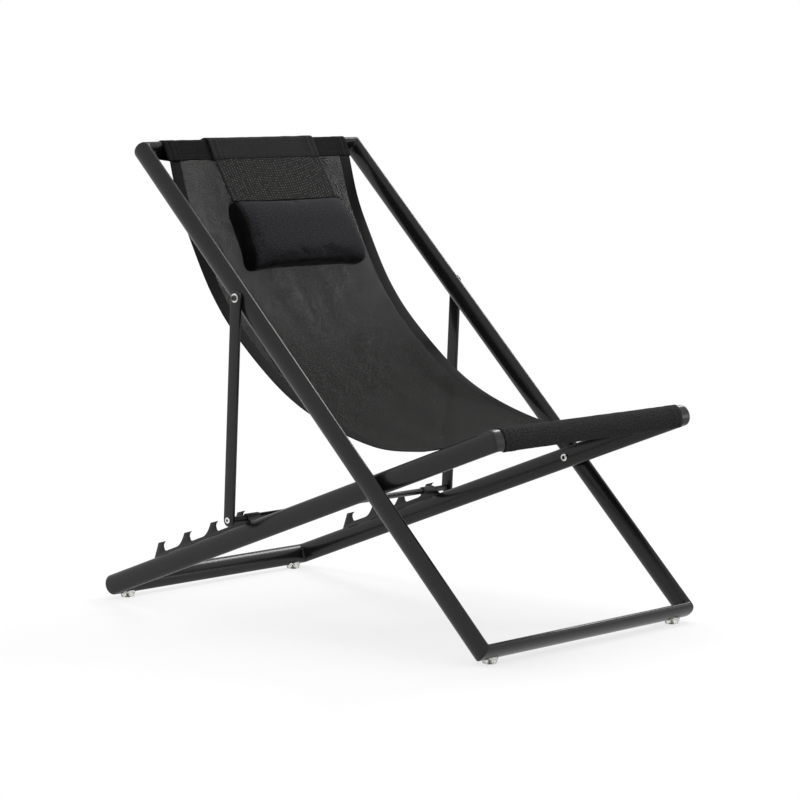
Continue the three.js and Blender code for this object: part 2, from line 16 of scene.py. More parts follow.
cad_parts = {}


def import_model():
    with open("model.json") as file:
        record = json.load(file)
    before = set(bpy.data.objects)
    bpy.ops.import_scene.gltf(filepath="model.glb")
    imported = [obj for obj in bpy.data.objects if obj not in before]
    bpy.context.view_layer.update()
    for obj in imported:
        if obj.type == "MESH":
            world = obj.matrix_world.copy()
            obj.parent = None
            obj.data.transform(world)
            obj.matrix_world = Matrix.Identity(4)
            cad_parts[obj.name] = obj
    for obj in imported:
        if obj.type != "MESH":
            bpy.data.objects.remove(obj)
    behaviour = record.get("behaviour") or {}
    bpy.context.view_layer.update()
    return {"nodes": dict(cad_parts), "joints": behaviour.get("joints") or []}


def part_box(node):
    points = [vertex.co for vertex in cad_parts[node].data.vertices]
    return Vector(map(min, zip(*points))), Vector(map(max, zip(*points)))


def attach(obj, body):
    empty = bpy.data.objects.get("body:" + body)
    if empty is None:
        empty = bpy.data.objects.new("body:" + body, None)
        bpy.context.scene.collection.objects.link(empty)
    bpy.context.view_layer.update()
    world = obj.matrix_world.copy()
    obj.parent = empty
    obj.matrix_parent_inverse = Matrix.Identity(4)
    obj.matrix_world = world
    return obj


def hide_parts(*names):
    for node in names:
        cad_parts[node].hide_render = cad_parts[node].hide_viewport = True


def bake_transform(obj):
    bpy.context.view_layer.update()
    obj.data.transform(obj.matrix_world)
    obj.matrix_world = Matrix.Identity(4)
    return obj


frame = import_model()

MM = 0.001
SIDES = (("right", -1), ("left", 1))

# Sizes that repeat the CAD source
FIT = 0.3 * MM
TUBE_WIDTH = 20 * MM
TUBE_DEPTH = 40 * MM
PROP_INNER = 304.6 * MM
PROP_OUTER = 311.6 * MM
PROP_LENGTH = 421 * MM
PROP_WIDTH = 25 * MM
PLATE_INNER = 265 * MM
PLATE_OUTER = 268 * MM
PLATE_LEAD = 9 * MM
PLATE_LEAD_SLOPE = 5 * MM
PLATE_ROOT = 12 * MM
HOOK_COUNT = 4
HOOK_PITCH = 78.2 * MM
FRONT_HOOK_ALONG = 354.3 * MM
HOOK_HEIGHT = 46 * MM
HOOK_TOP_LENGTH = 20.6 * MM
HOOK_TIP_DROP = 1.7 * MM
HOOK_SLOPE_LENGTH = 31.3 * MM
HOOK_SLOPE_SHARE = 0.55
REAR_SLOPE_LENGTH = 22.4 * MM
NOTCH_RISE = 4.5 * MM
NOTCH_RADIUS = 4.9 * MM
LIP_INSET = 1.1 * MM
LIP_DROP = 2.8 * MM
ROD_BEHIND_TIP = 5.2 * MM
ROD_HEIGHT = 31.1 * MM
STITCH_FROM_BAR = 36 * MM
TOP_STITCH_RISE = 8 * MM
FRONT_STITCH_RISE = 6.4 * MM
CAD_CLOTH = 1.5 * MM
SHEET_WIDTH = 500 * MM
SLEEVE_WIDTH = 507 * MM
HEADREST_OFFSET = 10.5 * MM
FLAP_WIDTH = 290 * MM
PILLOW_DROP = 85 * MM
PILLOW_SPAN = 140 * MM
PILLOW_START = 8 * MM
PILLOW_WIDTH = 305 * MM
PILLOW_END_DEPTH = 47 * MM
PILLOW_CROWN = 61 * MM

# Hanging line of the sling, as shares of the distance between the bars: along it, and below it
SLING_SHARES = [
    (0.098, 0.062), (0.161, 0.1065), (0.258, 0.1645), (0.358, 0.2), (0.503, 0.2235),
    (0.625, 0.2155), (0.754, 0.181), (0.844, 0.13), (0.888, 0.094),
]


def joint_place(name):
    return Vector(next(j["pos_m"] for j in frame["joints"] if j["name"] == name))


def middle(node):
    low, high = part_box(node)
    return (low + high) / 2


PIVOT = joint_place("recline")
ROD = joint_place("prop_swing")
FLAP_HINGE = joint_place("headrest_lift")
PROP_TOP = middle("prop_bolt_left")
TOP_BAR = middle("back_top_bar")
BOTTOM_BAR = middle("back_bottom_bar")
FRONT_BAR = middle("seat_front_bar")
REAR_BAR = middle("seat_rear_bar")


class SideFrame:
    """Axes of a tilted frame, from a point of the chair's middle plane towards another."""

    def __init__(self, origin, towards):
        self.origin = np.array([0.0, origin.y, origin.z])
        run = np.array([0.0, towards.y - origin.y, towards.z - origin.z])
        self.reach = float(np.linalg.norm(run))
        self.along = run / self.reach
        self.above = np.array([0.0, -self.along[2], self.along[1]])

    def place(self, across, along, above):
        """World points of matching arrays of distances."""
        across, along, above = np.broadcast_arrays(across, along, above)
        return (self.origin + np.multiply.outer(across, [1.0, 0.0, 0.0])
                + np.multiply.outer(along, self.along) + np.multiply.outer(above, self.above))

    def distance(self, point):
        """How far along the frame a world point is."""
        return float((np.array(point) - self.origin) @ self.along)


BACK = SideFrame(PIVOT, TOP_BAR)
SEAT = SideFrame(PIVOT, REAR_BAR)
PROP = SideFrame(ROD, PROP_TOP)
SEAT_FRONT = SEAT.distance(FRONT_BAR)
BACK_BOTTOM = BACK.distance(BOTTOM_BAR)
BACK_RAIL_X = abs(middle("back_rail_left").x)
SEAT_RAIL_X = abs(middle("seat_rail_left").x)

# Meshes

WELD_DISTANCE = 0.001 * MM
SOFT_ANGLE = 40


def lay_uvs(mesh, layer_name, uvs):
    """A layer of coordinates in metres, from one row for each point."""
    layer = mesh.uv_layers.new(name=layer_name)
    picked = np.zeros(len(mesh.loops), int)
    mesh.loops.foreach_get("vertex_index", picked)
    layer.data.foreach_set("uv", np.asarray(uvs, float)[picked].ravel())


def lay_values(mesh, name, values):
    """One number for each point, for the material to read."""
    mesh.attributes.new(name, "FLOAT", "POINT").data.foreach_set("value", values)


def make_mesh(name, points, faces, uvs=None):
    """A smooth piece; uvs are metres on the cloth, one for each point."""
    mesh = bpy.data.meshes.new(name)
    mesh.from_pydata([tuple(p) for p in points], [], [tuple(f) for f in faces])
    work = bmesh.new()
    work.from_mesh(mesh)
    if uvs is None:
        bmesh.ops.remove_doubles(work, verts=work.verts, dist=WELD_DISTANCE)
    bmesh.ops.recalc_face_normals(work, faces=work.faces)
    work.to_mesh(mesh)
    work.free()
    mesh.polygons.foreach_set("use_smooth", [True] * len(mesh.polygons))
    if uvs is not None:
        lay_uvs(mesh, "cloth", uvs)
    mesh.update()
    piece = bpy.data.objects.new(name, mesh)
    bpy.context.scene.collection.objects.link(piece)
    return piece


def grid_faces(rows, columns, closed_rows=False, closed_columns=False):
    """Faces between rows of points, of which either direction may close on itself."""
    faces = []
    for i in range(rows if closed_rows else rows - 1):
        for k in range(columns if closed_columns else columns - 1):
            a = i * columns + k
            b = i * columns + (k + 1) % columns
            c = (i + 1) % rows * columns + (k + 1) % columns
            d = (i + 1) % rows * columns + k
            faces.append((a, b, c, d))
    return faces


def capped_faces(rows, columns):
    """Faces of a row of rings that is closed at both ends."""
    last = (rows - 1) * columns
    caps = [tuple(range(columns)), tuple(range(last, last + columns))]
    return grid_faces(rows, columns, closed_columns=True) + caps


def joined(parts):
    """One (points, faces) pair from several."""
    points = []
    faces = []
    for part_points, part_faces in parts:
        start = len(points)
        points.extend(part_points)
        faces.extend(tuple(start + i for i in face) for face in part_faces)
    return points, faces


def apply_modifiers(piece):
    graph = bpy.context.evaluated_depsgraph_get()
    made = bpy.data.meshes.new_from_object(piece.evaluated_get(graph))
    piece.modifiers.clear()
    piece.data = made


def soften_edges(piece, radius, steps=2):
    """Rounds the sharp edges of a piece."""
    bevel = piece.modifiers.new("edge", "BEVEL")
    bevel.width = radius
    bevel.segments = steps
    bevel.limit_method = "ANGLE"
    bevel.angle_limit = math.radians(SOFT_ANGLE)
    apply_modifiers(piece)


def cut_away(piece, *tools):
    """Takes the tools' shapes from the piece, and removes the tools."""
    for tool in tools:
        cut = piece.modifiers.new("cut", "BOOLEAN")
        cut.operation = "DIFFERENCE"
        cut.solver = "EXACT"
        cut.object = tool
        apply_modifiers(piece)
        bpy.data.objects.remove(tool)


def dress(piece, body, finish, replaced=(), sharp=None):
    """Gives a piece its material and body, and hides the CAD nodes that it stands for.

    Edges of more than sharp degrees are left sharp.
    """
    material, slot_name = FINISHES[finish]
    if not piece.data.materials:
        piece.data.materials.append(material)
    if sharp:
        piece.data.set_sharp_from_angle(angle=math.radians(sharp))
    if replaced:
        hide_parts(*replaced)
    if body:
        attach(piece, body)
    return piece


def full_turn(steps):
    """Evenly spaced angles round a circle."""
    return np.linspace(0, 2 * math.pi, steps, endpoint=False)


def ellipse(width, depth, steps=56):
    """Points (across, above) of the tube's outline."""
    angle = full_turn(steps)
    return np.column_stack([width / 2 * np.cos(angle), depth / 2 * np.sin(angle)])


def closed_line(line):
    return np.concatenate([line, line[:1]])


def lengths_along(line):
    steps = np.linalg.norm(np.diff(line, axis=0), axis=1)
    return np.concatenate([[0], np.cumsum(steps)])


def resampled(line, places, values=None):
    """Points of a line, or the values that go with its points, at distances along it."""
    lengths = lengths_along(line)
    values = line if values is None else values
    return np.stack([np.interp(places, lengths, column) for column in values.T], axis=1)


def unit(vectors):
    return vectors / np.linalg.norm(vectors, axis=-1, keepdims=True)


def curve_between(start, control, end, steps):
    """Points of a quadratic curve, or rows of points between rows of points."""
    share = np.linspace(0, 1, steps)
    outer = np.multiply.outer
    return outer((1 - share) ** 2, start) + outer(2 * share * (1 - share), control) + outer(share ** 2, end)


def catmull_rom(points, per_span):
    """A smooth line through points, with its ends doubled."""
    points = np.asarray(points, float)
    padded = np.concatenate([points[:1], points, points[-1:]])
    share = np.linspace(0, 1, per_span, endpoint=False)[:, None]
    line = []
    for a, b, c, d in zip(padded, padded[1:], padded[2:], padded[3:]):
        line.extend(0.5 * (2 * b + (c - a) * share + (2 * a - 5 * b + 4 * c - d) * share ** 2
                           + (3 * b - a - 3 * c + d) * share ** 3))
    return np.array(line + [points[-1]])


def waves(table, first, second):
    """A sum of sines; a row is a height, the factors of the two places, and a shift."""
    return sum(height * np.sin(first * a + second * b + shift) for height, a, b, shift in table)


# Materials. A value is a number, a colour or a node's output; noises are in cells per metre.

class Nodes:
    """The nodes of a material or a world."""

    def __init__(self, owner):
        owner.use_nodes = True
        self.tree = owner.node_tree

    def new(self, kind):
        return self.tree.nodes.new("ShaderNode" + kind)

    def first(self, kind):
        return next(n for n in self.tree.nodes if n.type == kind)

    def feed(self, socket, value):
        if isinstance(value, bpy.types.NodeSocket):
            self.tree.links.new(value, socket)
        else:
            socket.default_value = value

    def feed_named(self, node, values):
        for key, value in values.items():
            self.feed(node.inputs[key], value)

    def maths(self, operation, *values):
        node = self.new("Math")
        node.operation = operation
        for socket, value in zip(node.inputs, values):
            self.feed(socket, value)
        return node.outputs[0]

    def added(self, first, second, share):
        """Two values added by their shares, of which the second one's is given."""
        return self.maths("ADD", self.maths("MULTIPLY", first, 1 - share),
                          self.maths("MULTIPLY", second, share))

    def noise(self, place, scale, detail=3.0):
        node = self.new("TexNoise")
        self.feed_named(node, {"Vector": place, "Scale": scale, "Detail": detail})
        return node.outputs["Fac"]

    def spread(self, value, low, high, start=0.0, end=1.0):
        """A value from start to end turned into one from low to high."""
        node = self.new("MapRange")
        self.feed_named(node, {"Value": value, "From Min": start, "From Max": end,
                               "To Min": low, "To Max": high})
        return node.outputs["Result"]

    def mixed(self, factor, dark, light):
        """A colour between two others."""
        node = self.new("Mix")
        node.data_type = "RGBA"
        sockets = [s for s in node.inputs if s.type == "RGBA"]
        for socket, colour in zip(sockets, (dark, light)):
            self.feed(socket, (*colour, 1) if isinstance(colour, tuple) else colour)
        self.feed(node.inputs["Factor"], factor)
        return next(o for o in node.outputs if o.type == "RGBA")

    def coordinates(self, kind="Object"):
        return self.new("TexCoord").outputs[kind]

    def attribute(self, name):
        node = self.new("Attribute")
        node.attribute_name = name
        return node.outputs

    def across_and_along(self, vector):
        node = self.new("SeparateXYZ")
        self.feed(node.inputs["Vector"], vector)
        return node.outputs["X"], node.outputs["Y"]


class Material(Nodes):
    """A new material with its shader."""

    def __init__(self, name):
        self.made = bpy.data.materials.new(name)
        super().__init__(self.made)
        self.shader = self.first("BSDF_PRINCIPLED")

    def give(self, **values):
        """Values for the shader's inputs, whose names are written with underscores."""
        self.feed_named(self.shader, {key.replace("_", " "): value for key, value in values.items()})

    def bump(self, height, distance, strength):
        node = self.new("Bump")
        self.feed_named(node, {"Height": height, "Distance": distance, "Strength": strength})
        self.give(Normal=node.outputs["Normal"])


# Hard surfaces, with the scale and detail of each noise; a name with a capital is the shader's own
PAINT = dict(cloud=(7, 3), sheen=(1100, 2), cloud_share=0.4, bumps=(1100, 2), depth=0.04 * MM,
             strength=0.5, Coat_Weight=0.15, Coat_Roughness=0.12)
STEEL = dict(cloud=(90, 3), sheen=(2600, 3), bumps=(2600, 3), depth=0.02 * MM, strength=0.4, Metallic=1)
NYLON = dict(cloud=(50, 3), sheen=(1500, 2), bumps=(1500, 2), depth=0.05 * MM, strength=0.5)
CLEAR = dict(cloud=(260, 4), sheen=(90, 2), bumps=(260, 4), depth=0.4 * MM, strength=0.6,
             Transmission_Weight=0.9, IOR=1.49)


def grey(value):
    return (value, value, value)


def hard(name, dark, light, rough, cloud, sheen, bumps, depth, strength, cloud_share=0.0, **values):
    """A surface whose colour, roughness and small bumps follow noises."""
    finish = Material(name)
    place = finish.coordinates()
    clouds = finish.noise(place, *cloud)
    uneven = finish.added(finish.noise(place, *sheen), clouds, cloud_share)
    finish.give(Base_Color=finish.mixed(clouds, dark, light), Roughness=finish.spread(uneven, *rough))
    finish.give(**values)
    finish.bump(finish.noise(place, *bumps), depth, strength)
    return finish.made


CLOTH_GRAIN = 330
CLOTH_UNEVEN = 0.1
CLOTH_BUMP = 0.8
GRAIN_RANGE = (0.3, 0.7)
TONE_RANGE = (0.4, 0.6)
TONE_STREAKS = (42, 3)
TONE_STREAK_SHARE = 0.1
HOLE_STREAKS = (38, 2)
HOLE_UNEVEN = 0.14
CROSSING_SHARE = 0.35
# Colour of the painted highlights on the yarn crossings
GLINT = (0.12, 0.115, 0.11)
GLINT_BOW = 1.6
GLINT_ROW_SHARE = 0.8
GLINT_NOISE = 120
GLINT_NOISE_RANGE = (0.35, 0.6)
GLINT_KNOT_RANGE = (0.7, 0.95)
# Colour of painted shade, for the pillow's ends, underside and top seam
PAINTED_SHADE = grey(0.001)
SHEEN_ROUGHNESS = 0.4


def wave(cloth, place, pitch):
    """A sine across parallel yarns, with half a wave for each yarn."""
    return cloth.maths("SINE", cloth.maths("MULTIPLY", place, math.pi / pitch))


def yarn(cloth, place, pitch):
    """Height across parallel yarns, 0 between them and 1 on their crowns."""
    return cloth.maths("ABSOLUTE", wave(cloth, place, pitch))


def streaks(cloth, place, scales):
    """Noise drawn out along the cloth, from 0 to 1."""
    stretch = cloth.new("Mapping")
    cloth.feed_named(stretch, {"Scale": (*scales, 1), "Vector": place})
    return cloth.noise(stretch.outputs["Vector"], 1)


def hole_mask(cloth, place, pitch):
    """1 in the holes between the yarns, as wide as the cloth's own openness, with drawn-out streaks."""
    uneven = cloth.spread(streaks(cloth, place, HOLE_STREAKS), -HOLE_UNEVEN, HOLE_UNEVEN)
    edge = cloth.maths("ADD", cloth.attribute("open")["Fac"], uneven)
    ways = cloth.across_and_along(cloth.attribute("holes")["Vector"])
    gaps = [cloth.maths("LESS_THAN", yarn(cloth, way, pitch), edge) for way in ways]
    return cloth.maths("MULTIPLY", *gaps)


def glint_mask(cloth, place, pitch):
    """Painted highlights: rows of bright crossings, bowed across the cloth and uneven in strength."""
    across, along = cloth.across_and_along(place)
    bow = cloth.maths("MULTIPLY", cloth.maths("POWER", across, 2), GLINT_BOW)
    rows = yarn(cloth, cloth.maths("ADD", along, bow), pitch * GLINT_ROW_SHARE)
    knots = cloth.maths("MULTIPLY", yarn(cloth, across, pitch), rows)
    uneven = cloth.spread(cloth.noise(place, GLINT_NOISE, 1), 0, 1, *GLINT_NOISE_RANGE)
    return cloth.maths("MULTIPLY", cloth.spread(knots, 0, 1, *GLINT_KNOT_RANGE), uneven)


def woven_height(cloth, place, pitch, twill):
    """Height of the weave, in slanting ribs or in crowns that pass over and under."""
    ways = cloth.across_and_along(place)
    if twill:
        return yarn(cloth, cloth.maths("ADD", *ways), 2 * pitch)
    crowns = cloth.maths("MAXIMUM", *[yarn(cloth, way, pitch) for way in ways])
    crossings = cloth.maths("MULTIPLY", *[wave(cloth, way, pitch) for way in ways])
    return cloth.maths("ADD", crowns, cloth.maths("MULTIPLY", crossings, CROSSING_SHARE))


def woven(name, dark, light, pitch, roughness, depth, gloss=0.15, sheen=0.0, holes=0.0, glints=0.0,
          twill=False, shaded=False):
    """Woven yarn on the cloth's own metres.

    holes is the distance between the holes, and glints that between the crossings that catch the
    light, painted in as lighter colour. A shaded cloth has shade painted into its colour, darker
    where its attribute "shade" is high.
    """
    cloth = Material(name)
    place = cloth.coordinates("UV")
    grain = cloth.noise(place, CLOTH_GRAIN)
    tone = grain
    if holes:
        tone = cloth.added(grain, streaks(cloth, place, TONE_STREAKS), TONE_STREAK_SHARE)
        cloth.give(Alpha=cloth.maths("SUBTRACT", 1.0, hole_mask(cloth, place, holes)))
    colour = cloth.mixed(cloth.spread(tone, 0, 1, *TONE_RANGE), dark, light)
    # Painted highlights where the crossings catch the light
    if glints:
        colour = cloth.mixed(glint_mask(cloth, place, glints), colour, GLINT)
    # Painted shade: darker where the attribute "shade" is high
    if shaded:
        colour = cloth.mixed(cloth.attribute("shade")["Fac"], colour, PAINTED_SHADE)
    uneven = cloth.spread(grain, roughness - CLOTH_UNEVEN, roughness + CLOTH_UNEVEN, *GRAIN_RANGE)
    cloth.give(Base_Color=colour, Roughness=uneven, Specular_IOR_Level=gloss, Sheen_Weight=sheen,
               Sheen_Roughness=SHEEN_ROUGHNESS)
    cloth.bump(woven_height(cloth, place, pitch, twill), depth, CLOTH_BUMP)
    return cloth.made


# A finish is a material and the record's slot that it belongs to
FINISHES = {
    "frame": (hard("frame_paint", (0.007, 0.007, 0.0072), (0.011, 0.011, 0.0114), (0.22, 0.32), **PAINT,
                   Specular_IOR_Level=0.24), "frame_paint"),
    "plate": (hard("plate_paint", (0.007, 0.007, 0.0072), (0.010, 0.010, 0.0103), (0.31, 0.41), **PAINT,
                   Specular_IOR_Level=0.25), "plate_paint"),
    "steel": (hard("steel", (0.66, 0.64, 0.6), (0.86, 0.85, 0.82), (0.16, 0.36), **STEEL), "steel"),
    "dark_steel": (hard("dark_steel", grey(0.04), grey(0.09), (0.28, 0.48), **STEEL), "dark_steel"),
    # Near-black steel for the screws' sockets: painted shade in the recess
    "socket": (hard("socket_painted_shade", grey(0.01), (0.03, 0.03, 0.028), (0.42, 0.62), **STEEL), "steel"),
    "nylon": (hard("nylon", grey(0.006), grey(0.013), (0.4, 0.6), **NYLON), "nylon"),
    "clear": (hard("clear_plastic", (0.55, 0.56, 0.5), (0.95, 0.96, 0.92), (0.05, 0.3), **CLEAR),
              "clear_plastic"),
    "mesh": (woven("sling_mesh", (0.002, 0.002, 0.0018), (0.047, 0.0462, 0.0452), 1.4 * MM, 0.75,
                   0.2 * MM, gloss=0.02, holes=0.9 * MM), "sling_mesh"),
    "hem": (woven("sling_hem", grey(0.003), grey(0.009), 1.4 * MM, 0.7, 0.2 * MM, gloss=0.1), "sling_mesh"),
    "flap": (woven("flap_mesh", (0.004, 0.0038, 0.0036), (0.014, 0.0132, 0.013), 1.4 * MM, 0.7,
                   0.2 * MM, gloss=0.1, holes=0.9 * MM, glints=7 * MM), "sling_mesh"),
    "sleeve": (woven("sleeve_cloth", grey(0.014), grey(0.04), 1.3 * MM, 0.75, 0.3 * MM, gloss=0.04),
               "sleeve_cloth"),
    # The top sleeve is the front sleeve's cloth made darker: painted shade
    "top_sleeve": (woven("top_sleeve_cloth", grey(0.002), grey(0.012), 1.3 * MM, 0.75, 0.25 * MM,
                         gloss=0.06), "sleeve_cloth"),
    "loop": (woven("loop_cloth", (0.008, 0.0075, 0.0075), (0.021, 0.020, 0.020), 1.0 * MM, 0.75,
                   0.15 * MM, gloss=0.1), "sleeve_cloth"),
    "pillow": (woven("pillow_cloth", (0.010, 0.0094, 0.011), (0.030, 0.0285, 0.032), 0.9 * MM, 0.8,
                     0.08 * MM, gloss=0.06, sheen=0.06, twill=True, shaded=True), "pillow_cloth"),
    # Near-black cord: painted shade along the loop's edge and the pillow's seam
    "shadow_cord": (woven("shadow_cord", grey(0.0005), grey(0.002), 0.5 * MM, 0.8, 0.05 * MM, gloss=0.01),
               "sleeve_cloth"),
    "thread": (woven("thread", grey(0.004), grey(0.008), 0.3 * MM, 0.6, 0.05 * MM), "sleeve_cloth"),
}

# Frames: four mitred tubes each, with the welds ground round

CORNER_OUTER = 3 * MM
CORNER_INNER = 4.5 * MM
CORNER_STEPS = 7
CORNER_SUPPORT = 8 * MM


def frame_tubes(name, side_frame, half_width, low, high):
    """One closed run of tube round a frame, with rounded mitres."""
    outline = ellipse(TUBE_WIDTH, TUBE_DEPTH)
    corners = np.array([(half_width, low), (half_width, high), (-half_width, high), (-half_width, low)])
    outside_share = outline[:, :1] / TUBE_WIDTH + 0.5
    radius = CORNER_INNER + (CORNER_OUTER - CORNER_INNER) * outside_share
    rings = []
    for i, corner in enumerate(corners):
        before = unit(corner - corners[i - 1])
        after = unit(corners[(i + 1) % 4] - corner)
        outward = np.array([before[1] + after[1], -before[0] - after[0]])
        mitre = corner + np.multiply.outer(outline[:, 0], outward)
        rings.append(mitre - CORNER_SUPPORT * before)
        rings.extend(curve_between(mitre - radius * before, mitre, mitre + radius * after, CORNER_STEPS))
        rings.append(mitre + CORNER_SUPPORT * after)
    points = [side_frame.place(ring[:, 0], ring[:, 1], outline[:, 1]) for ring in rings]
    return make_mesh(name, np.concatenate(points), grid_faces(len(rings), len(outline), True, True))


for stem, side_frame, rail_x, low, high, bars in (
        ("seat", SEAT, SEAT_RAIL_X, SEAT_FRONT, SEAT.reach, ("seat_front_bar", "seat_rear_bar")),
        ("back", BACK, BACK_RAIL_X, BACK_BOTTOM, BACK.reach, ("back_bottom_bar", "back_top_bar"))):
    dress(frame_tubes(f"{stem}_frame_tubes", side_frame, rail_x, low, high), f"{stem}_frame", "frame",
          [f"{stem}_rail_right", f"{stem}_rail_left", *bars])

# Flat pieces: the hooked plates with their welds, and the bars of the prop

PLATE_EDGE = 0.4 * MM
PROP_EDGE = 1.8 * MM
NOTCH_STEPS = 10
LIP_STEPS = 8
SLOPE_STEPS = 14
STADIUM_STEPS = 24
BEAD_LENGTH = 26 * MM
BEAD_START = 14 * MM
BEAD_RADIUS = 1.7 * MM
BEAD_PITCH = 2.2 * MM
BEAD_RIPPLE = 0.12
BEAD_TAPER = 8
BEAD_END_SHARE = 0.02
BEAD_STEPS = 60
BEAD_SIDES = 10


def extruded(name, side_frame, outline, low, high):
    """A flat piece: an outline of (along, above) points between two places across the chair."""
    rows = [side_frame.place(across, outline[:, 0], outline[:, 1]) for across in (low, high)]
    return make_mesh(name, np.concatenate(rows), capped_faces(2, len(outline)))


def hooked_plate_outline():
    """(along, above) points from the plate's lead over its notches, lips and hooks to its rear end."""
    floor = ROD_HEIGHT - NOTCH_RADIUS
    tip_height = HOOK_HEIGHT - HOOK_TIP_DROP
    start = FRONT_HOOK_ALONG - PLATE_LEAD
    line = [(start, PLATE_ROOT), (start, TUBE_DEPTH / 2), (start + PLATE_LEAD_SLOPE, floor)]
    turn = np.linspace(-math.pi / 2, 0, NOTCH_STEPS)
    for i in range(HOOK_COUNT):
        tip = FRONT_HOOK_ALONG + i * HOOK_PITCH
        rod = tip + ROD_BEHIND_TIP
        rear = rod + NOTCH_RADIUS
        top_end = tip + HOOK_TOP_LENGTH
        line += [(rod + NOTCH_RADIUS * math.cos(a), ROD_HEIGHT + NOTCH_RADIUS * math.sin(a)) for a in turn]
        line += [*curve_between((rear, ROD_HEIGHT + NOTCH_RISE), (rear - LIP_INSET, tip_height - LIP_DROP),
                                (tip, tip_height), LIP_STEPS)]
        if i < HOOK_COUNT - 1:
            slope_end = top_end + HOOK_SLOPE_LENGTH
            control = top_end + HOOK_SLOPE_LENGTH * HOOK_SLOPE_SHARE
            line += [*curve_between((top_end, HOOK_HEIGHT), (control, floor), (slope_end, floor),
                                    SLOPE_STEPS)]
        else:
            rear_end = top_end + REAR_SLOPE_LENGTH
            line += [(top_end, HOOK_HEIGHT), (rear_end, TUBE_DEPTH / 2), (rear_end, PLATE_ROOT)]
    return np.array(line)


def weld_bead(across, above, start):
    """A rippled bead of weld along a rail, thinner at its ends."""
    share = np.linspace(0, 1, BEAD_STEPS)
    ripple = 1 + BEAD_RIPPLE * np.sin(2 * math.pi * share * BEAD_LENGTH / BEAD_PITCH)
    radius = BEAD_RADIUS * ripple * np.sqrt(np.clip(1 - (2 * share - 1) ** BEAD_TAPER, BEAD_END_SHARE, 1))
    turn = full_turn(BEAD_SIDES)
    points = SEAT.place(across + np.multiply.outer(radius, np.cos(turn)),
                        (start + share * BEAD_LENGTH)[:, None],
                        above + np.multiply.outer(radius, np.sin(turn)))
    return points.reshape(-1, 3), capped_faces(BEAD_STEPS, BEAD_SIDES)


def tube_height(off_middle):
    """How high the rail's surface is at a distance across from its middle."""
    return TUBE_DEPTH / 2 * math.sqrt(1 - (2 * off_middle / TUBE_WIDTH) ** 2)


def stadium(length, width):
    """Outline of a flat bar with round ends; its length is between their centres."""
    turn = np.linspace(math.pi / 2, 3 * math.pi / 2, STADIUM_STEPS)
    start = np.column_stack([width / 2 * np.cos(turn), width / 2 * np.sin(turn)])
    return np.concatenate([start, [length, 0.0] - start])


for name, side in SIDES:
    plate = extruded(f"hooks_{name}", SEAT, hooked_plate_outline(), side * PLATE_INNER, side * PLATE_OUTER)
    soften_edges(plate, PLATE_EDGE)
    dress(plate, "seat_frame", "plate", [f"hook_plate_{name}"], sharp=50)
    beads = []
    for i in range(HOOK_COUNT):
        start = FRONT_HOOK_ALONG + i * HOOK_PITCH + (BEAD_START if i < HOOK_COUNT - 1 else 0)
        for face in (PLATE_INNER, PLATE_OUTER):
            beads.append(weld_bead(side * face, tube_height(face - SEAT_RAIL_X), start))
    dress(make_mesh(f"hook_welds_{name}", *joined(beads)), "seat_frame", "frame")
    form = stadium(PROP_LENGTH, PROP_WIDTH)
    bar = extruded(f"prop_side_{name}", PROP, form, side * PROP_INNER, side * PROP_OUTER)
    soften_edges(bar, PROP_EDGE, 4)
    dress(bar, "prop", "frame", [f"prop_bar_{name}"], sharp=50)

# Turned pieces: the rod with its rings, and the screws

ROUND_STEPS = 48
EDGE = 0.5 * MM
EDGE_STEPS = 4
EDGE_SHARE = 0.45
PIN_RADIUS = 4.5 * MM
ROD_RADIUS = 6 * MM
SHANK_RADIUS = 3 * MM
PIVOT_SHANK_RADIUS = 4 * MM
SOCKET_DEPTH = 2 * MM
SOCKET_ROWS = 3
RIM_SHARE = 0.35
DOME_STEPS = 8

# Node, piece, body, finish and bore radius of each ring
RINGS = (
    ("prop_collar", "collar", "prop", "nylon", PIN_RADIUS),
    ("rod_sleeve", "sleeve", "prop", "nylon", PIN_RADIUS),
    ("prop_spacer", "spacer", "prop", "nylon", SHANK_RADIUS),
    ("prop_washer", "washer", "prop", "steel", SHANK_RADIUS),
    ("pivot_spacer", "pivot_ring", "seat_frame", "nylon", PIVOT_SHANK_RADIUS + FIT),
)

# Node, piece, body, finish, head height, crown's share, socket width, shank radius, inward head
SCREWS = (
    ("rod_screw", "foot_screw", "prop", "steel", 2.4 * MM, 0.78, 5 * MM, SHANK_RADIUS, False),
    ("prop_bolt", "top_screw", "prop", "dark_steel", 4 * MM, 0.5, 4 * MM, SHANK_RADIUS, False),
    ("pivot_bolt", "pivot_screw", "back_frame", "steel", 4 * MM, 0.75, 7 * MM, PIVOT_SHANK_RADIUS, True),
)


def turned(name, profile, centre, axis, hexagonal=0, closed=False):
    """A lathed piece from (radius, place) rows along an axis; its first rows may be six-sided."""
    axis = Vector(axis)
    first = Vector((0, 0, 1)) if abs(axis.x) > 0.5 else Vector((1, 0, 0))
    second = axis.cross(first)
    angles = full_turn(ROUND_STEPS)
    six_sided = 1 / np.cos(angles % (math.pi / 3) - math.pi / 6)
    rows = []
    for row, (radius, place) in enumerate(profile):
        reach = radius * (six_sided if row < hexagonal else np.ones(ROUND_STEPS))
        on_axis = np.array(centre) + place * np.array(axis)
        rows.append(on_axis + np.multiply.outer(reach * np.cos(angles), first)
                    + np.multiply.outer(reach * np.sin(angles), second))
    return make_mesh(name, np.concatenate(rows), grid_faces(len(rows), ROUND_STEPS, closed, True))


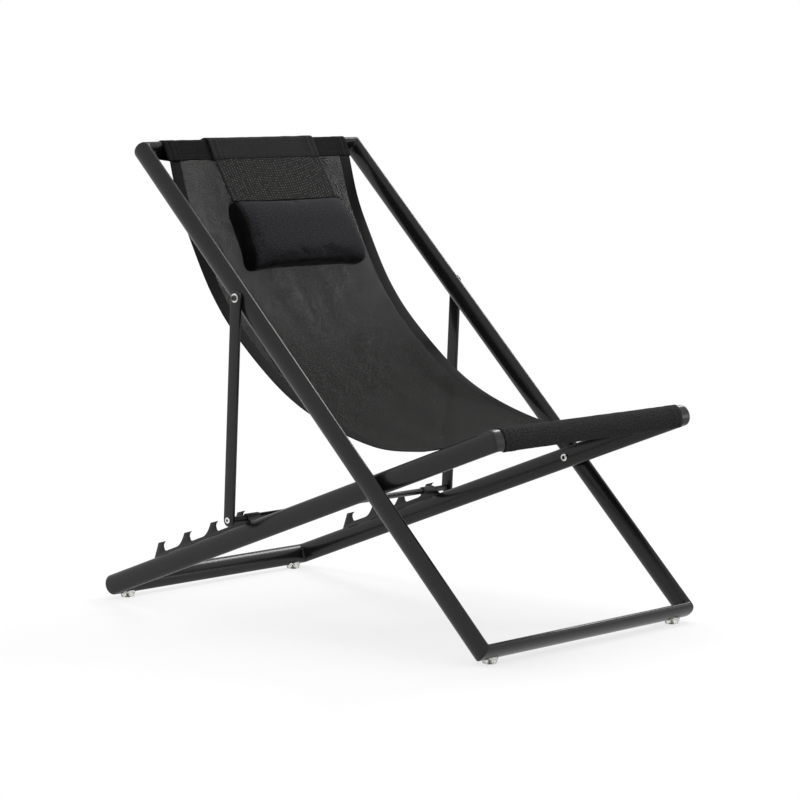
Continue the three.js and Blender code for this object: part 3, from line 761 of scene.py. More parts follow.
def rounded(profile, radius=EDGE):
    """The profile with each corner between its ends replaced by a short arc."""
    result = [np.array(profile[0], float)]
    for before, corner, after in zip(profile, profile[1:], profile[2:]):
        corner = np.array(corner, float)
        ends = []
        for other in (before, after):
            way = np.array(other, float) - corner
            length = np.linalg.norm(way)
            ends.append(corner + way * min(radius, EDGE_SHARE * length) / length)
        result.extend(curve_between(ends[0], corner, ends[1], EDGE_STEPS))
    return result + [np.array(profile[-1], float)]


def span_of(node):
    """A turned node's radius, its side-view centre, and its ends' distances from the middle plane."""
    low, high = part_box(node)
    near, far = sorted((abs(low.x), abs(high.x)))
    centre = (0, (low.y + high.y) / 2, (low.z + high.z) / 2)
    return max(high.y - low.y, high.z - low.z) / 2, centre, near, far


def turned_ring(node, piece_name, side, body, finish, bore):
    """A ring in its node's place, with its edges rounded."""
    radius, centre, near, far = span_of(node)
    half = [(bore, (near + far) / 2), (bore, near), (radius, near), (radius, far), (bore, far)]
    profile = rounded(half + half[:1])[:-1]
    piece = turned(piece_name, profile, centre, (side, 0, 0), closed=True)
    dress(piece, body, finish, [node], sharp=40)


def turned_screw(node, piece_name, side, body, finish, head_height, crown_share, socket, shank, inward):
    """A domed screw with a six-sided socket whose faces are painted dark as shade; an inward head is
    towards the chair's middle.
    """
    radius, centre, near, far = span_of(node)
    crown = radius * crown_share
    rim = RIM_SHARE * head_height
    dome = [(crown + (radius - crown) * math.sin(a), (head_height - rim) * (1 - math.cos(a)))
            for a in np.linspace(0, math.pi / 2, DOME_STEPS)]
    hole = socket / 2
    rows = [(0, SOCKET_DEPTH), (hole, SOCKET_DEPTH), (hole, EDGE / 2), (hole + EDGE / 2, 0), *dome,
            (radius, head_height), (shank, head_height), (shank, far - near), (0, far - near)]
    top, way = (near, 1) if inward else (far, -1)
    profile = [(r, top + way * depth) for r, depth in rows]
    piece = turned(piece_name, profile, centre, (side, 0, 0), hexagonal=SOCKET_ROWS)
    # The socket's faces take a near-black steel: painted shade in the recess
    for key in (finish, "socket"):
        piece.data.materials.append(FINISHES[key][0])
    for face in piece.data.polygons:
        off_axis = math.hypot(face.center.y - centre[1], face.center.z - centre[2])
        from_top = abs(abs(face.center.x) - top)
        face.material_index = int(off_axis < hole and from_top < SOCKET_DEPTH + EDGE)
    dress(piece, body, finish, [node], sharp=35)


rod_end = PROP_INNER - FIT
collar_end = span_of("prop_collar_left")[2] - FIT
half_rod = [(ROD_RADIUS, collar_end), (PIN_RADIUS, collar_end), (PIN_RADIUS, rod_end), (0, rod_end)]
whole_rod = rounded([(r, -place) for r, place in reversed(half_rod)] + half_rod)
dress(turned("cross_rod", whole_rod, (0, ROD.y, ROD.z), (1, 0, 0)), "prop", "frame", ["prop_rod"], sharp=40)
for name, side in SIDES:
    for node, piece_name, *look in RINGS:
        turned_ring(f"{node}_{name}", f"{piece_name}_{name}", side, *look)
    for node, piece_name, *look in SCREWS:
        turned_screw(f"{node}_{name}", f"{piece_name}_{name}", side, *look)

# Clear glides, hollowed to the bars above them, with their screws, and the bare inserts

GLIDE_RADIUS = 16 * MM
GLIDE_BASE_RADIUS = 12 * MM
GLIDE_HEIGHT = 12.5 * MM
GLIDE_EDGE = 1.4 * MM
GLIDE_HEAD_RADIUS = 4.5 * MM
GLIDE_HEAD_TOP = 4 * MM
GLIDE_SHANK_RADIUS = 2 * MM
SADDLE_STEPS = 96
OVERRUN = 3 * MM
UPRIGHT = (0, 0, 1)


def glide_screw(low, high, play=0.0):
    """Rows of a glide's screw with its head down, or of its hole with some play round it."""
    head = GLIDE_HEAD_RADIUS + play
    head_top = GLIDE_HEAD_TOP + play
    shank = GLIDE_SHANK_RADIUS + play
    return [(0, low), (head, low), (head, head_top), (shank, head_top), (shank, high), (0, high)]


def add_glide(stem, name, body, side_frame, bar_along):
    screw_node = f"{stem}_foot_screw_{name}"
    low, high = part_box(screw_node)
    centre = (*middle(screw_node)[:2], 0)
    form = [(0, 0), (GLIDE_BASE_RADIUS, 0), (GLIDE_RADIUS, GLIDE_HEIGHT - GLIDE_EDGE),
            (GLIDE_RADIUS - GLIDE_EDGE, GLIDE_HEIGHT), (0, GLIDE_HEIGHT)]
    glide = turned(f"glide_{stem}_{name}", rounded(form, GLIDE_EDGE), centre, UPRIGHT)
    bar = ellipse(TUBE_WIDTH + 2 * FIT, TUBE_DEPTH + 2 * FIT, SADDLE_STEPS) + [bar_along, 0]
    reach = GLIDE_RADIUS + OVERRUN
    saddle = extruded("saddle", side_frame, bar, centre[0] - reach, centre[0] + reach)
    hole = turned("hole", glide_screw(-OVERRUN, GLIDE_HEIGHT + OVERRUN, FIT), centre, UPRIGHT)
    cut_away(glide, saddle, hole)
    dress(glide, body, "clear", [f"{stem}_foot_{name}"], sharp=40)
    screw = turned(f"glide_screw_{stem}_{name}", rounded(glide_screw(low.z, high.z)), centre, UPRIGHT)
    dress(screw, body, "dark_steel", [screw_node], sharp=40)


for name, side in SIDES:
    add_glide("front", name, "back_frame", BACK, BACK_BOTTOM)
    add_glide("rear", name, "seat_frame", SEAT, SEAT.reach)
    for insert in ("pivot_insert", "prop_insert"):
        node = frame["nodes"][f"{insert}_{name}"]
        node.data.materials.clear()
        node.data.materials.append(FINISHES["steel"][0])

# Stitches

STITCH_LENGTH = 3.2 * MM
STITCH_GAP = 1.3 * MM
FIRST_STITCH = 0.1
THREAD_RADIUS = 0.32 * MM
THREAD_SIDES = 6

# Rings of one stitch: place along it in stitch lengths, thickness and height in thread radii
STITCH_FORM = [(-0.5, 0.3, -0.7), (-0.36, 0.9, 0.0), (0.0, 1.0, 0.25), (0.36, 0.9, 0.0), (0.5, 0.3, -0.7)]


def circles(first, second, steps):
    """Circles of radius 1 in the planes of matching rows of directions."""
    turn = full_turn(steps)[:, None]
    return np.cos(turn) * first[:, None] + np.sin(turn) * second[:, None]


def stitch_row(line, normals):
    """Points and faces of a row of stitches along a line on a surface."""
    length = lengths_along(line)[-1]
    count = int(length // (STITCH_LENGTH + STITCH_GAP))
    starts = (np.arange(count) + FIRST_STITCH) * length / count
    tails = resampled(line, starts)
    heads = resampled(line, starts + STITCH_LENGTH)
    ways = unit(heads - tails)
    ups = resampled(line, starts + STITCH_LENGTH / 2, normals)
    ups = unit(ups - ways * (ups * ways).sum(axis=1)[:, None])
    rounds = circles(np.cross(ways, ups), ups, THREAD_SIDES)
    rings = []
    for along, thick, lift in STITCH_FORM:
        centres = (tails + heads) / 2 + along * STITCH_LENGTH * ways + lift * THREAD_RADIUS * ups
        rings.append(centres[:, None] + thick * THREAD_RADIUS * rounds)
    faces = capped_faces(len(rings), THREAD_SIDES)
    return joined((stitch.reshape(-1, 3), faces) for stitch in np.stack(rings, axis=1))


# Sling: one layer in its middle and a folded hem down each side

TOP_STITCH = BACK.place(0.0, BACK.reach - STITCH_FROM_BAR, TOP_STITCH_RISE)[1:]
FRONT_STITCH = SEAT.place(0.0, SEAT_FRONT + STITCH_FROM_BAR, FRONT_STITCH_RISE)[1:]
LAYER = 0.9 * MM
HEM_WIDTH = 28 * MM
HEM_STITCH = 22 * MM
SHEET_MARGIN = 1.2 * MM
SHEET_ROWS = 150
SHEET_COLUMNS = 41
SPAN_STEPS = 40
ASKEW = np.array([[1.0, 1.0], [-1.0, 1.0]]) * 1.9
OPEN_TOP = 0.65
OPEN_LOW = 0.36
OPEN_FADE = 480 * MM
RIPPLES = [(1.0, 34, 9, 0.0), (0.6, 71, -13, 1.3), (0.4, 120, 21, 0.4)]
RIPPLE_LOW = 0.25 * MM
RIPPLE_TOP = 0.9 * MM
RIPPLE_FADE = 250 * MM


def sling_line():
    """The sling from the side, from its top stitches down to its front ones."""
    top = np.array([TOP_BAR.y, TOP_BAR.z])
    chord = np.array([FRONT_BAR.y, FRONT_BAR.z]) - top
    below = np.array([-chord[1], chord[0]])
    hang = [top + along * chord + drop * below for along, drop in SLING_SHARES]
    return catmull_rom([TOP_STITCH, *hang, FRONT_STITCH], SPAN_STEPS)


def normals_of(line):
    """The upward side of a line that runs down the sling."""
    way = unit(np.gradient(line, axis=0))
    return np.stack([way[:, 1], -way[:, 0]], axis=1)


def ripple(across, along):
    """Small unevenness of hanging mesh, strongest near its top."""
    return waves(RIPPLES, across, along) * (RIPPLE_LOW + RIPPLE_TOP * np.exp(-along / RIPPLE_FADE))


def sling_openness(along):
    """The mesh is stretched open at its top and close lower down; 1 would be all hole."""
    return OPEN_LOW + (OPEN_TOP - OPEN_LOW) * np.exp(-(along / OPEN_FADE) ** 4)


def hemmed_section(width, hem, columns):
    """Rows of a place across a strip and the heights of its upper and lower faces there."""
    half = width / 2
    inner = half - hem
    side = [(inner - 1 * MM, 0.5, -0.5), (inner, 0.5, -1.35), (inner + 0.3 * hem, 0.5, -1.5),
            (half - 1.2 * MM, 0.45, -1.45), (half - 0.3 * MM, 0.1, -1.1), (half, -0.5, -0.5)]
    plain = [(x, 0.5, -0.5) for x in np.linspace(3 * MM - inner, inner - 3 * MM, columns)]
    mirrored = [(-x, upper, lower) for x, upper, lower in reversed(side)]
    return np.array(mirrored + plain + side) * [1, LAYER, LAYER]


def cloth_strip(name, line, section, openness, offset=0.0, rippled=False):
    """A closed strip of cloth along a line seen from the side, with an openness at each of its points.

    The holes are finer and run askew on the lower face, so that those of the two faces don't fall
    in step.
    """
    across, upper, lower = section.T
    round_across = np.concatenate([across, across[-2:0:-1]])
    size = len(round_across)
    rows = []
    uvs = []
    hole_places = []
    for place, normal, distance in zip(line, normals_of(line), lengths_along(line)):
        raised = ripple(across, distance) if rippled else 0.0
        heights = np.concatenate([upper + raised, (lower + raised)[-2:0:-1]])
        rows.append(np.column_stack([round_across + offset, place + np.multiply.outer(heights, normal)]))
        uvs.append(np.column_stack([round_across, np.full(size, distance)]))
        hole_places.append(np.concatenate([uvs[-1][:len(across)], uvs[-1][len(across):] @ ASKEW]))
    faces = grid_faces(len(rows), size, closed_columns=True)
    for start in (0, (len(rows) - 1) * size):
        for k in range(len(across) - 1):
            corners = dict.fromkeys([k, k + 1, (size - k - 1) % size, (size - k) % size])
            faces.append(tuple(start + i for i in corners))
    piece = make_mesh(name, np.concatenate(rows), faces, np.concatenate(uvs))
    lay_uvs(piece.data, "holes", np.concatenate(hole_places))
    lay_values(piece.data, "open", np.repeat(openness, size))
    return piece


def finish_hems(piece, beyond, offset=0.0, below=0.0):
    """Closes the weave beyond a distance from the strip's middle, and below a height."""
    piece.data.materials.append(FINISHES["hem"][0])
    for face in piece.data.polygons:
        face.material_index = int(abs(face.center.x - offset) > beyond or face.center.z < below)


def blend_between_frames(piece):
    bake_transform(piece)


SLING = sling_line()
SLING_LENGTH = lengths_along(SLING)[-1]
sheet_line = resampled(SLING, np.linspace(SHEET_MARGIN, SLING_LENGTH - SHEET_MARGIN, SHEET_ROWS))
sheet_places = lengths_along(sheet_line)
sheet_normals = normals_of(sheet_line)
sling = cloth_strip("sling_cloth", sheet_line, hemmed_section(SHEET_WIDTH, HEM_WIDTH, SHEET_COLUMNS),
                    sling_openness(sheet_places), rippled=True)
dress(sling, None, "mesh", ["sling_sheet"])
finish_hems(sling, SHEET_WIDTH / 2 - HEM_WIDTH)
blend_between_frames(sling)

hem_rows = []
for across in (HEM_STITCH - SHEET_WIDTH / 2, SHEET_WIDTH / 2 - HEM_STITCH):
    height = ripple(across, sheet_places) + LAYER / 2
    side_line = sheet_line + height[:, None] * sheet_normals
    hem_rows.append(stitch_row(np.column_stack([np.full(SHEET_ROWS, across), side_line]),
                               np.column_stack([np.zeros(SHEET_ROWS), sheet_normals])))
blend_between_frames(dress(make_mesh("sling_hem_stitches", *joined(hem_rows)), None, "thread"))

# Sleeves: cloth round a bar, drawn together at its stitches. Lifts are in layers from the inside.

SLEEVE_LAYER = 1.3 * MM
SLEEVE_ROUND = 120
SLEEVE_COLUMNS = 60
TIP_STEPS = 16
SLACK = 0.5 * MM
SLACK_WAVES = [(1.0, 47, 2, 0.0), (0.6, 93, -3, 1.0), (0.5, 160, 1, 0.0)]
SLEEVE_HEM = 32 * MM
HEM_LIFT = 1.35
HEM_STEP = 0.6 * MM
HEM_GAP = 4 * MM
GROOVE_HALF = 1.8 * MM
GROOVE_LIFT = 0.75
END_ROWS = (12 * MM, 27 * MM)
SEAM_ROWS = (4 * MM, 9 * MM)
LOOP_WIDTH = 294 * MM
LOOP_SLACK = 1.4 * MM


def sleeve_outline(offset, stitch_along, stitch_rise):
    """Evenly spaced (along, above) points round the bar and the stitch line, and the loop's length."""
    tube = ellipse(TUBE_WIDTH + 2 * offset, TUBE_DEPTH + 2 * offset, SLEEVE_ROUND)
    tip = ellipse(2 * offset, 2 * offset, TIP_STEPS) + [stitch_along, stitch_rise]
    points = np.concatenate([tube, tip])
    outline = points[convex_hull_2d(points)]
    far = np.argmax(outline[:, 0] * np.sign(stitch_along))
    outline = np.roll(outline, -far, axis=0)
    if outline[1:, 1].argmax() > len(outline) / 2:
        outline = np.roll(outline[::-1], 1, axis=0)
    outline = closed_line(outline)
    length = lengths_along(outline)[-1]
    return resampled(outline, np.linspace(0, length, SLEEVE_ROUND, endpoint=False)), length


def sleeve_stations(half):
    """(across, lift) rows of a sleeve, hemmed and grooved at both ends."""
    ends = [(0, 0.3), (0.3 * MM, 0.9), (1.2 * MM, HEM_LIFT)]
    for inset in END_ROWS:
        ends += [(inset - GROOVE_HALF, HEM_LIFT), (inset, GROOVE_LIFT), (inset + GROOVE_HALF, HEM_LIFT)]
    ends += [(SLEEVE_HEM - HEM_STEP, HEM_LIFT), (SLEEVE_HEM + HEM_STEP, 1.0)]
    inner = np.linspace(SLEEVE_HEM + HEM_GAP - half, half - SLEEVE_HEM - HEM_GAP, SLEEVE_COLUMNS)
    return ([(d - half, lift) for d, lift in ends] + [(x, 1.0) for x in inner]
            + [(half - d, lift) for d, lift in reversed(ends)])


def sleeve(name, side_frame, bar_along, stitch, width, offset, body, node, finish, centre=0.0):
    """A loop of cloth with turned ends, and its stitches; stitch is its line's place from the bar."""
    inner, _ = sleeve_outline(offset, *stitch)
    outer, girth = sleeve_outline(offset + SLEEVE_LAYER, *stitch)
    out = unit(outer - inner)
    half = width / 2
    stations = sleeve_stations(half)
    phase = full_turn(SLEEVE_ROUND)
    turn = np.linspace(0, girth, SLEEVE_ROUND, endpoint=False)

    def world(x, loop):
        return side_frame.place(x + centre, bar_along + loop[:, 0], loop[:, 1])

    def surface(x, lift):
        """The cloth's outer face at one place across, a little uneven where it is slack."""
        slack = SLACK * waves(SLACK_WAVES, x, phase) / 2
        return world(x, inner + (outer - inner) * lift + out * np.abs(slack)[:, None] * min(lift, 1))

    rings = [surface(x, lift) for x, lift in stations] + [world(x, inner) for x in (half, -half)]
    ring_places = [x for x, _ in stations] + [half, -half]
    uvs = [np.column_stack([np.full(SLEEVE_ROUND, x), turn]) for x in ring_places]
    piece = make_mesh(name, np.concatenate(rings), grid_faces(len(rings), SLEEVE_ROUND, True, True),
                      np.concatenate(uvs))
    dress(piece, body, finish, [node], sharp=60)

    normals = side_frame.place(0.0, out[:, 0], out[:, 1]) - side_frame.origin
    rows = []
    for inset in END_ROWS:
        for x in (inset - half, half - inset):
            rows.append(stitch_row(closed_line(surface(x, GROOVE_LIFT)), closed_line(normals)))
    for distance in SEAM_ROWS:
        k = round(distance / girth * SLEEVE_ROUND)
        line = np.array([ring[k] for ring in rings[2:len(stations) - 2]])
        rows.append(stitch_row(line, np.tile(normals[k], (len(line), 1))))
    dress(make_mesh(f"{name}_stitches", *joined(rows)), body, "thread")


top_stitch = (-STITCH_FROM_BAR, TOP_STITCH_RISE)
front_stitch = (STITCH_FROM_BAR, FRONT_STITCH_RISE)
# The top sleeve's darker finish paints shade onto the same cloth as the front sleeve
sleeve("top_sleeve_cloth", BACK, BACK.reach, top_stitch, SLEEVE_WIDTH, FIT,
       "back_frame", "sling_top_sleeve", "top_sleeve")
sleeve("front_sleeve_cloth", SEAT, SEAT_FRONT, front_stitch, SLEEVE_WIDTH, FIT,
       "seat_frame", "sling_front_sleeve", "sleeve")
sleeve("headrest_loop_cloth", BACK, BACK.reach, top_stitch, LOOP_WIDTH, 2 * FIT + CAD_CLOTH + LOOP_SLACK,
       "back_frame", "headrest_loop", "loop", HEADREST_OFFSET)

# Headrest pillow: simulated from a slightly smaller form, then given its seams and painted shade

PILLOW_HEIGHT = 153 * MM
PILLOW_PULL = 1 * MM
PILLOW_REST = 1.3 * MM
PILLOW_SHRINK = 2.5 * MM
PILLOW_SWELL = 5 * MM
PILLOW_FLARE = 5 * MM
PILLOW_SAG_SHARE = 0.1
PILLOW_ROUND_FRONT = 0.64
PILLOW_ROUND_ENDS = 0.14
PILLOW_ROUND_BACK = 0.3
PILLOW_TOP_POINT = 0.16
PILLOW_RINGS = 28
PILLOW_STEPS = 64
END_DOME = [(0.86, 5 * MM), (0.5, 8.5 * MM)]
VOXEL = 5 * MM
CLOTH_FRAMES = 20
CLOTH_PRESSURE = 4
SEAM_STEPS = 4
SEAM_DEPTH = 1.8 * MM
SEAM_WIDTH = 2.4 * MM
SEAM_SAMPLE = 1 * MM
PUCKER_DEPTH = 0.7 * MM
PUCKER_REACH = 9 * MM
PUCKER_PITCH = 13 * MM
SHADE_START = 0.35
SHADE_END = 0.8
END_SHADE = 8 * MM
SEAM_SHADE = 6 * MM
SEAM_DARK = 3 * MM
CREST_REACH = 7 * MM
CREST_EVEN = 7
CREST_COUNT = 60
SEAM_LEAN = 0.6
JOIN_LEAN = 0.12

foot, down_end = resampled(SLING, [PILLOW_DROP, PILLOW_DROP + PILLOW_SPAN])
PILLOW_DOWN = unit(down_end - foot)
PILLOW_OUT = np.array([PILLOW_DOWN[1], -PILLOW_DOWN[0]])


def on_pillow(down, out):
    """World (y, z) of distances down the pillow and out from the sling."""
    return foot + np.multiply.outer(down, PILLOW_DOWN) + np.multiply.outer(out, PILLOW_OUT)


def down_and_out(points):
    """Distances of world points down the pillow and out from the sling."""
    return (points[:, 1:] - foot) @ PILLOW_DOWN, (points[:, 1:] - foot) @ PILLOW_OUT


def bend(value, share):
    """A power that keeps the value's sign."""
    return np.sign(value) * np.abs(value) ** share


def pillow_rows():
    """Rings of a rounded box that stands proud in its middle and is drawn in between its corners."""
    angle = full_turn(PILLOW_STEPS)
    rows = []
    for turn in np.linspace(-math.pi / 2, math.pi / 2, PILLOW_RINGS):
        share = math.sin(turn)
        pointed = PILLOW_TOP_POINT * np.maximum(-np.cos(angle), 0)
        front = PILLOW_ROUND_FRONT + PILLOW_ROUND_ENDS * share ** 2 + pointed
        roundness = np.where(np.sin(angle) > 0, front, PILLOW_ROUND_BACK)
        height = PILLOW_HEIGHT - 2 * PILLOW_PULL * math.cos(turn) ** 2 - 2 * PILLOW_SHRINK
        down = PILLOW_START + PILLOW_HEIGHT / 2 + height * bend(np.cos(angle), roundness) / 2
        depth = PILLOW_END_DEPTH + (PILLOW_CROWN - PILLOW_SWELL - PILLOW_END_DEPTH) * math.cos(turn)
        fuller = 1 + PILLOW_SAG_SHARE * np.cos(angle)
        out = PILLOW_REST + depth * fuller * (1 + bend(np.sin(angle), roundness)) / 2
        flare = PILLOW_FLARE * np.cos(angle)
        half = PILLOW_WIDTH / 2 + flare - PILLOW_SHRINK - PILLOW_PULL * np.sin(angle) ** 2
        rows.append(np.column_stack([share * half + HEADREST_OFFSET, on_pillow(down, out)]))
    domes = []
    for ring, way in ((rows[0], -1), (rows[-1], 1)):
        centre = ring.mean(axis=0)
        domes.append([centre + (ring - centre) * share + [way * out, 0, 0] for share, out in END_DOME])
    return domes[0][::-1] + rows + domes[1]


def vectors_of(rows, key):
    """The vector that each row of a mesh's data has under a key."""
    flat = np.zeros(len(rows) * 3)
    rows.foreach_get(key, flat)
    return flat.reshape(-1, 3)


def set_places(mesh, places):
    mesh.vertices.foreach_set("co", places.ravel())
    mesh.update()


def stuffed(piece, cap):
    """Swells a closed piece as cloth over stuffing, no further than the cap; returns its places before."""
    remesh = piece.modifiers.new("remesh", "REMESH")
    remesh.mode = "VOXEL"
    remesh.voxel_size = VOXEL
    apply_modifiers(piece)
    before = vectors_of(piece.data.vertices, "co")
    cloth = piece.modifiers.new("cloth", "CLOTH")
    cloth.settings.use_pressure = True
    cloth.settings.uniform_pressure_force = CLOTH_PRESSURE
    cloth.settings.effector_weights.gravity = 0
    scene = bpy.context.scene
    for step in range(1, CLOTH_FRAMES + 1):
        scene.frame_set(step)
    graph = bpy.context.evaluated_depsgraph_get()
    after = vectors_of(piece.evaluated_get(graph).to_mesh().vertices, "co")
    piece.modifiers.clear()
    scene.frame_set(1)
    moved = after - before
    reach = np.linalg.norm(moved, axis=1, keepdims=True)
    after = before + moved * np.minimum(1, cap / np.maximum(reach, 1e-9))
    _, out = down_and_out(after)
    after[:, 1:] += np.multiply.outer(np.maximum(PILLOW_REST - out, 0), PILLOW_OUT)
    set_places(piece.data, after)
    return before


def sewn(piece, seams, before):
    """Draws the cloth in along its seams, with small puckers beside them."""
    piece.data.attributes.new("rest", "FLOAT_VECTOR", "POINT").data.foreach_set("vector", before.ravel())
    fine = piece.modifiers.new("fine", "SUBSURF")
    fine.levels = 1
    apply_modifiers(piece)
    mesh = piece.data
    rest = vectors_of(mesh.attributes["rest"].data, "vector")
    mesh.attributes.remove(mesh.attributes["rest"])
    depth = np.zeros(len(rest))
    for seam in seams:
        even = resampled(seam, np.arange(0, lengths_along(seam)[-1], SEAM_SAMPLE))
        tree = KDTree(len(even))
        for i, place in enumerate(even):
            tree.insert(place, i)
        tree.balance()
        for v, place in enumerate(rest):
            _, index, gap = tree.find(place)
            pucker = PUCKER_DEPTH * math.sin(2 * math.pi * index * SEAM_SAMPLE / PUCKER_PITCH) ** 2
            drawn_in = (SEAM_DEPTH * math.exp(-(gap / SEAM_WIDTH) ** 2)
                        + pucker * math.exp(-(gap / PUCKER_REACH) ** 2))
            depth[v] = max(depth[v], drawn_in)
    set_places(mesh, vectors_of(mesh.vertices, "co") - depth[:, None] * vectors_of(mesh.vertices, "normal"))


def crest_of(piece, places, lean):
    """The pillow's top line at places across, as distances down and out; it may lean to the front."""
    points = vectors_of(piece.data.vertices, "co")
    down, out = down_and_out(points)
    crest = []
    for x in places:
        near = np.flatnonzero(np.abs(points[:, 0] - x) < CREST_REACH)
        top = near[np.argmin(down[near] - lean * out[near])]
        crest.append((down[top], out[top]))
    even = np.ones(CREST_EVEN) / CREST_EVEN
    padded = [np.pad(column, CREST_EVEN // 2, mode="edge") for column in zip(*crest)]
    return [np.convolve(column, even, "valid") for column in padded]


def smooth_step(value, start, end):
    share = np.clip((value - start) / (end - start), 0, 1)
    return share ** 2 * (3 - 2 * share)


def paint_pillow_shade(piece):
    """Paints shade into the pillow's colour: darker end panels, underside and seam along its top."""
    points = vectors_of(piece.data.vertices, "co")
    normals = vectors_of(piece.data.vertices, "normal")
    down, out = down_and_out(points)
    half = PILLOW_WIDTH / 2 - PILLOW_SHRINK + PILLOW_FLARE * (2 * (down - PILLOW_START) / PILLOW_HEIGHT - 1)
    ends = smooth_step(np.abs(points[:, 0] - HEADREST_OFFSET) - half, -END_SHADE, 0)
    under = smooth_step(-normals[:, 2], SHADE_START, SHADE_END)
    places = np.linspace(-1, 1, CREST_COUNT) * PILLOW_WIDTH / 2 + HEADREST_OFFSET
    crest = crest_of(piece, places, SEAM_LEAN)
    seam_down, seam_out = [np.interp(points[:, 0], places, line) for line in crest]
    seam = smooth_step(-np.hypot(down - seam_down, out - seam_out), -SEAM_SHADE, -SEAM_DARK)
    lay_values(piece.data, "shade", np.maximum.reduce([ends, under, seam]))


def lay_weave(piece):
    """Lays the weave on each face from the side that it faces most, in metres."""
    mesh = piece.data
    axes = np.array([(1.0, 0.0, 0.0), (0.0, *PILLOW_DOWN), (0.0, *PILLOW_OUT)])
    places = vectors_of(mesh.vertices, "co")
    layer = mesh.uv_layers.new(name="cloth")
    for face in mesh.polygons:
        facing = np.argmax(np.abs(axes @ np.array(face.normal)))
        first, second = np.delete(axes, facing, axis=0)
        for loop in face.loop_indices:
            place = places[mesh.loops[loop].vertex_index]
            layer.data[loop].uv = (place @ first, place @ second)


rows = pillow_rows()
pillow = make_mesh("pillow_cover", np.concatenate(rows), capped_faces(len(rows), PILLOW_STEPS))
places_before = stuffed(pillow, PILLOW_SWELL)
box_rows = rows[len(END_DOME):-len(END_DOME)]
end_seams = [closed_line(row) for row in (box_rows[0], box_rows[-1])]
top_seam = np.array([row[PILLOW_STEPS // 2 - SEAM_STEPS] for row in box_rows])
sewn(pillow, [*end_seams, top_seam], places_before)
# Painted shade on the pillow's ends, underside and top seam
paint_pillow_shade(pillow)
lay_weave(pillow)
dress(pillow, "headrest", "pillow", ["headrest_pillow"])

# Flap: mesh with narrow closed edges, from the loop down to the pillow's top, and its edgings: thin cords
# whose near-black colour paints the shadow under the loop's edge and along the pillow's seam

FLAP_HEM = 6 * MM
FLAP_OPEN = 0.3
FLAP_ROWS = 30
FLAP_COLUMNS = 24
CORDING = 0.9 * MM
CORDING_SIDES = 8


def cording(name, line):
    """A thin rounded cord along a line of points, near black: painted shade of the seam line it follows."""
    ways = unit(np.gradient(line, axis=0))
    ups = unit(np.cross(ways, [0.0, 0.3, 1.0]))
    rings = line[:, None] + CORDING * circles(ups, np.cross(ways, ups), CORDING_SIDES)
    shadow_cord = make_mesh(name, rings.reshape(-1, 3), capped_faces(len(line), CORDING_SIDES))
    dress(shadow_cord, "headrest", "shadow_cord")


flap_start = np.array([FLAP_HINGE.y, FLAP_HINGE.z])
across = np.linspace(-FLAP_WIDTH / 2, FLAP_WIDTH / 2, CREST_COUNT) + HEADREST_OFFSET
join_down, join_out = crest_of(pillow, across, JOIN_LEAN)
flap_end = on_pillow(join_down.mean() + SEAM_DEPTH, join_out.mean())
flap_line = flap_start + np.linspace(0, 1, FLAP_ROWS)[:, None] * (flap_end - flap_start)
flap = cloth_strip("headrest_flap_cloth", flap_line, hemmed_section(FLAP_WIDTH, FLAP_HEM, FLAP_COLUMNS),
                   np.full(FLAP_ROWS, FLAP_OPEN), HEADREST_OFFSET)
dress(flap, "headrest", "flap", ["headrest_flap"])
finish_hems(flap, FLAP_WIDTH / 2 - FLAP_HEM, HEADREST_OFFSET, below=flap_line[-2, 1])
# Near-black cords: painted shade under the loop's edge and along the pillow's seam
cording("flap_top_edging", np.column_stack([across, np.tile(flap_line[0], (CREST_COUNT, 1))]))
cording("pillow_seam_edging", np.column_stack([across, on_pillow(*crest_of(pillow, across, SEAM_LEAN))]))

lengths_along(flap_line)[-1]

# Floor, world, lights and camera. The lens and its sensor are in millimetres, angles in radians.

FLOOR_HALF = 40.0
FLOOR_FADE = (0.7, 2.2)
FLOOR_WHITE_SHARE = 0.7
FLOOR_LIGHT = (0.4, 0.4, 0.4)
FLOOR_SEEN = (0.985, 0.985, 0.985)
WORLD_STRENGTH = 0.9
WHITE = (1, 1, 1, 1)
CAMERA_LENS = 136.32
CAMERA_SENSOR = 36
CAMERA_PLACE = (-4.24665, -3.92715, 1.04285)
CAMERA_DOWN = 0.10888
CAMERA_TURN = -0.82776

# Name, place, aim, width and watts of each lamp
LAMPS = (
    ("key", (2.4, 0.0, 2.4), (0.0, 0.0, 0.4), 0.8, 28),
    ("front", (2.3, -2.1, 0.85), (0.0, 0.3, 0.15), 0.5, 2.5),
    ("overhead", (0.3, 0.6, 2.8), (0.0, 0.0, 0.4), 1.2, 12),
)


def seen_rays(nodes):
    """1 for rays that show the background itself, and 0 for rays that only carry light."""
    path = nodes.new("LightPath").outputs
    seen = nodes.maths("MAXIMUM", path["Is Camera Ray"], path["Is Glossy Ray"])
    return nodes.maths("MAXIMUM", seen, path["Is Transmission Ray"])


def show_mixed(nodes, factor, first, second, output):
    """Leads a mix of two shaders to the output."""
    mix = nodes.new("MixShader")
    for socket, value in zip(mix.inputs, (factor, first, second)):
        nodes.feed(socket, value)
    nodes.feed(output.inputs["Surface"], mix.outputs["Shader"])


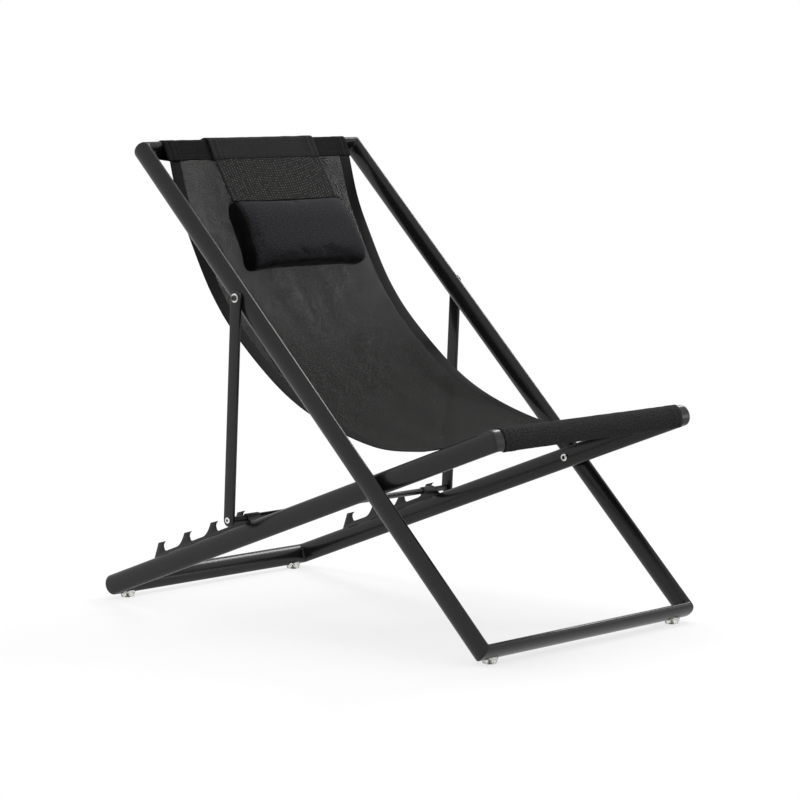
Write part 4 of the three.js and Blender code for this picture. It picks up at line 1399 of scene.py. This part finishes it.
def make_floor():
    """A pale floor that keeps a faint shadow and fades to white away from the chair."""
    h = FLOOR_HALF
    floor = make_mesh("floor", [(-h, -h, 0), (h, -h, 0), (h, h, 0), (-h, h, 0)], [(0, 1, 2, 3)])
    pale = Material("floor_white")
    seen = seen_rays(pale)
    pale.give(Base_Color=pale.mixed(seen, FLOOR_LIGHT, FLOOR_SEEN), Roughness=0.9, Specular_IOR_Level=0.0)
    from_chair = pale.new("VectorMath")
    from_chair.operation = "LENGTH"
    pale.feed(from_chair.inputs[0], pale.coordinates())
    fade = pale.spread(from_chair.outputs["Value"], FLOOR_WHITE_SHARE, 1.0, *FLOOR_FADE)
    white = pale.new("Emission").outputs["Emission"]
    show_mixed(pale, pale.maths("MULTIPLY", seen, fade), pale.shader.outputs["BSDF"], white,
               pale.first("OUTPUT_MATERIAL"))
    floor.data.materials.append(pale.made)


def make_world():
    """A white background, a little dimmer as a light than it is seen."""
    world = bpy.data.worlds.new("studio")
    bpy.context.scene.world = world
    nodes = Nodes(world)
    light = nodes.first("BACKGROUND")
    white = nodes.new("Background")
    nodes.feed_named(light, {"Color": WHITE, "Strength": WORLD_STRENGTH})
    nodes.feed_named(white, {"Color": WHITE})
    show_mixed(nodes, seen_rays(nodes), light.outputs[0], white.outputs[0], nodes.first("OUTPUT_WORLD"))


def placed(name, data, place):
    holder = bpy.data.objects.new(name, data)
    holder.location = place
    bpy.context.scene.collection.objects.link(holder)
    return holder


make_floor()
make_world()
for name, place, aim, width, watts in LAMPS:
    light = bpy.data.lights.new(name, "AREA")
    light.size = width
    light.energy = watts
    way = Vector(aim) - Vector(place)
    placed(name, light, place).rotation_euler = way.to_track_quat("-Z", "Y").to_euler()

camera_data = bpy.data.cameras.new("camera")
camera_data.lens = CAMERA_LENS
camera_data.sensor_width = CAMERA_SENSOR
camera = placed("camera", camera_data, CAMERA_PLACE)
camera.rotation_euler = (math.pi / 2 - CAMERA_DOWN, 0, CAMERA_TURN)
bpy.context.scene.camera = camera
bpy.context.scene.view_settings.view_transform = "Standard"
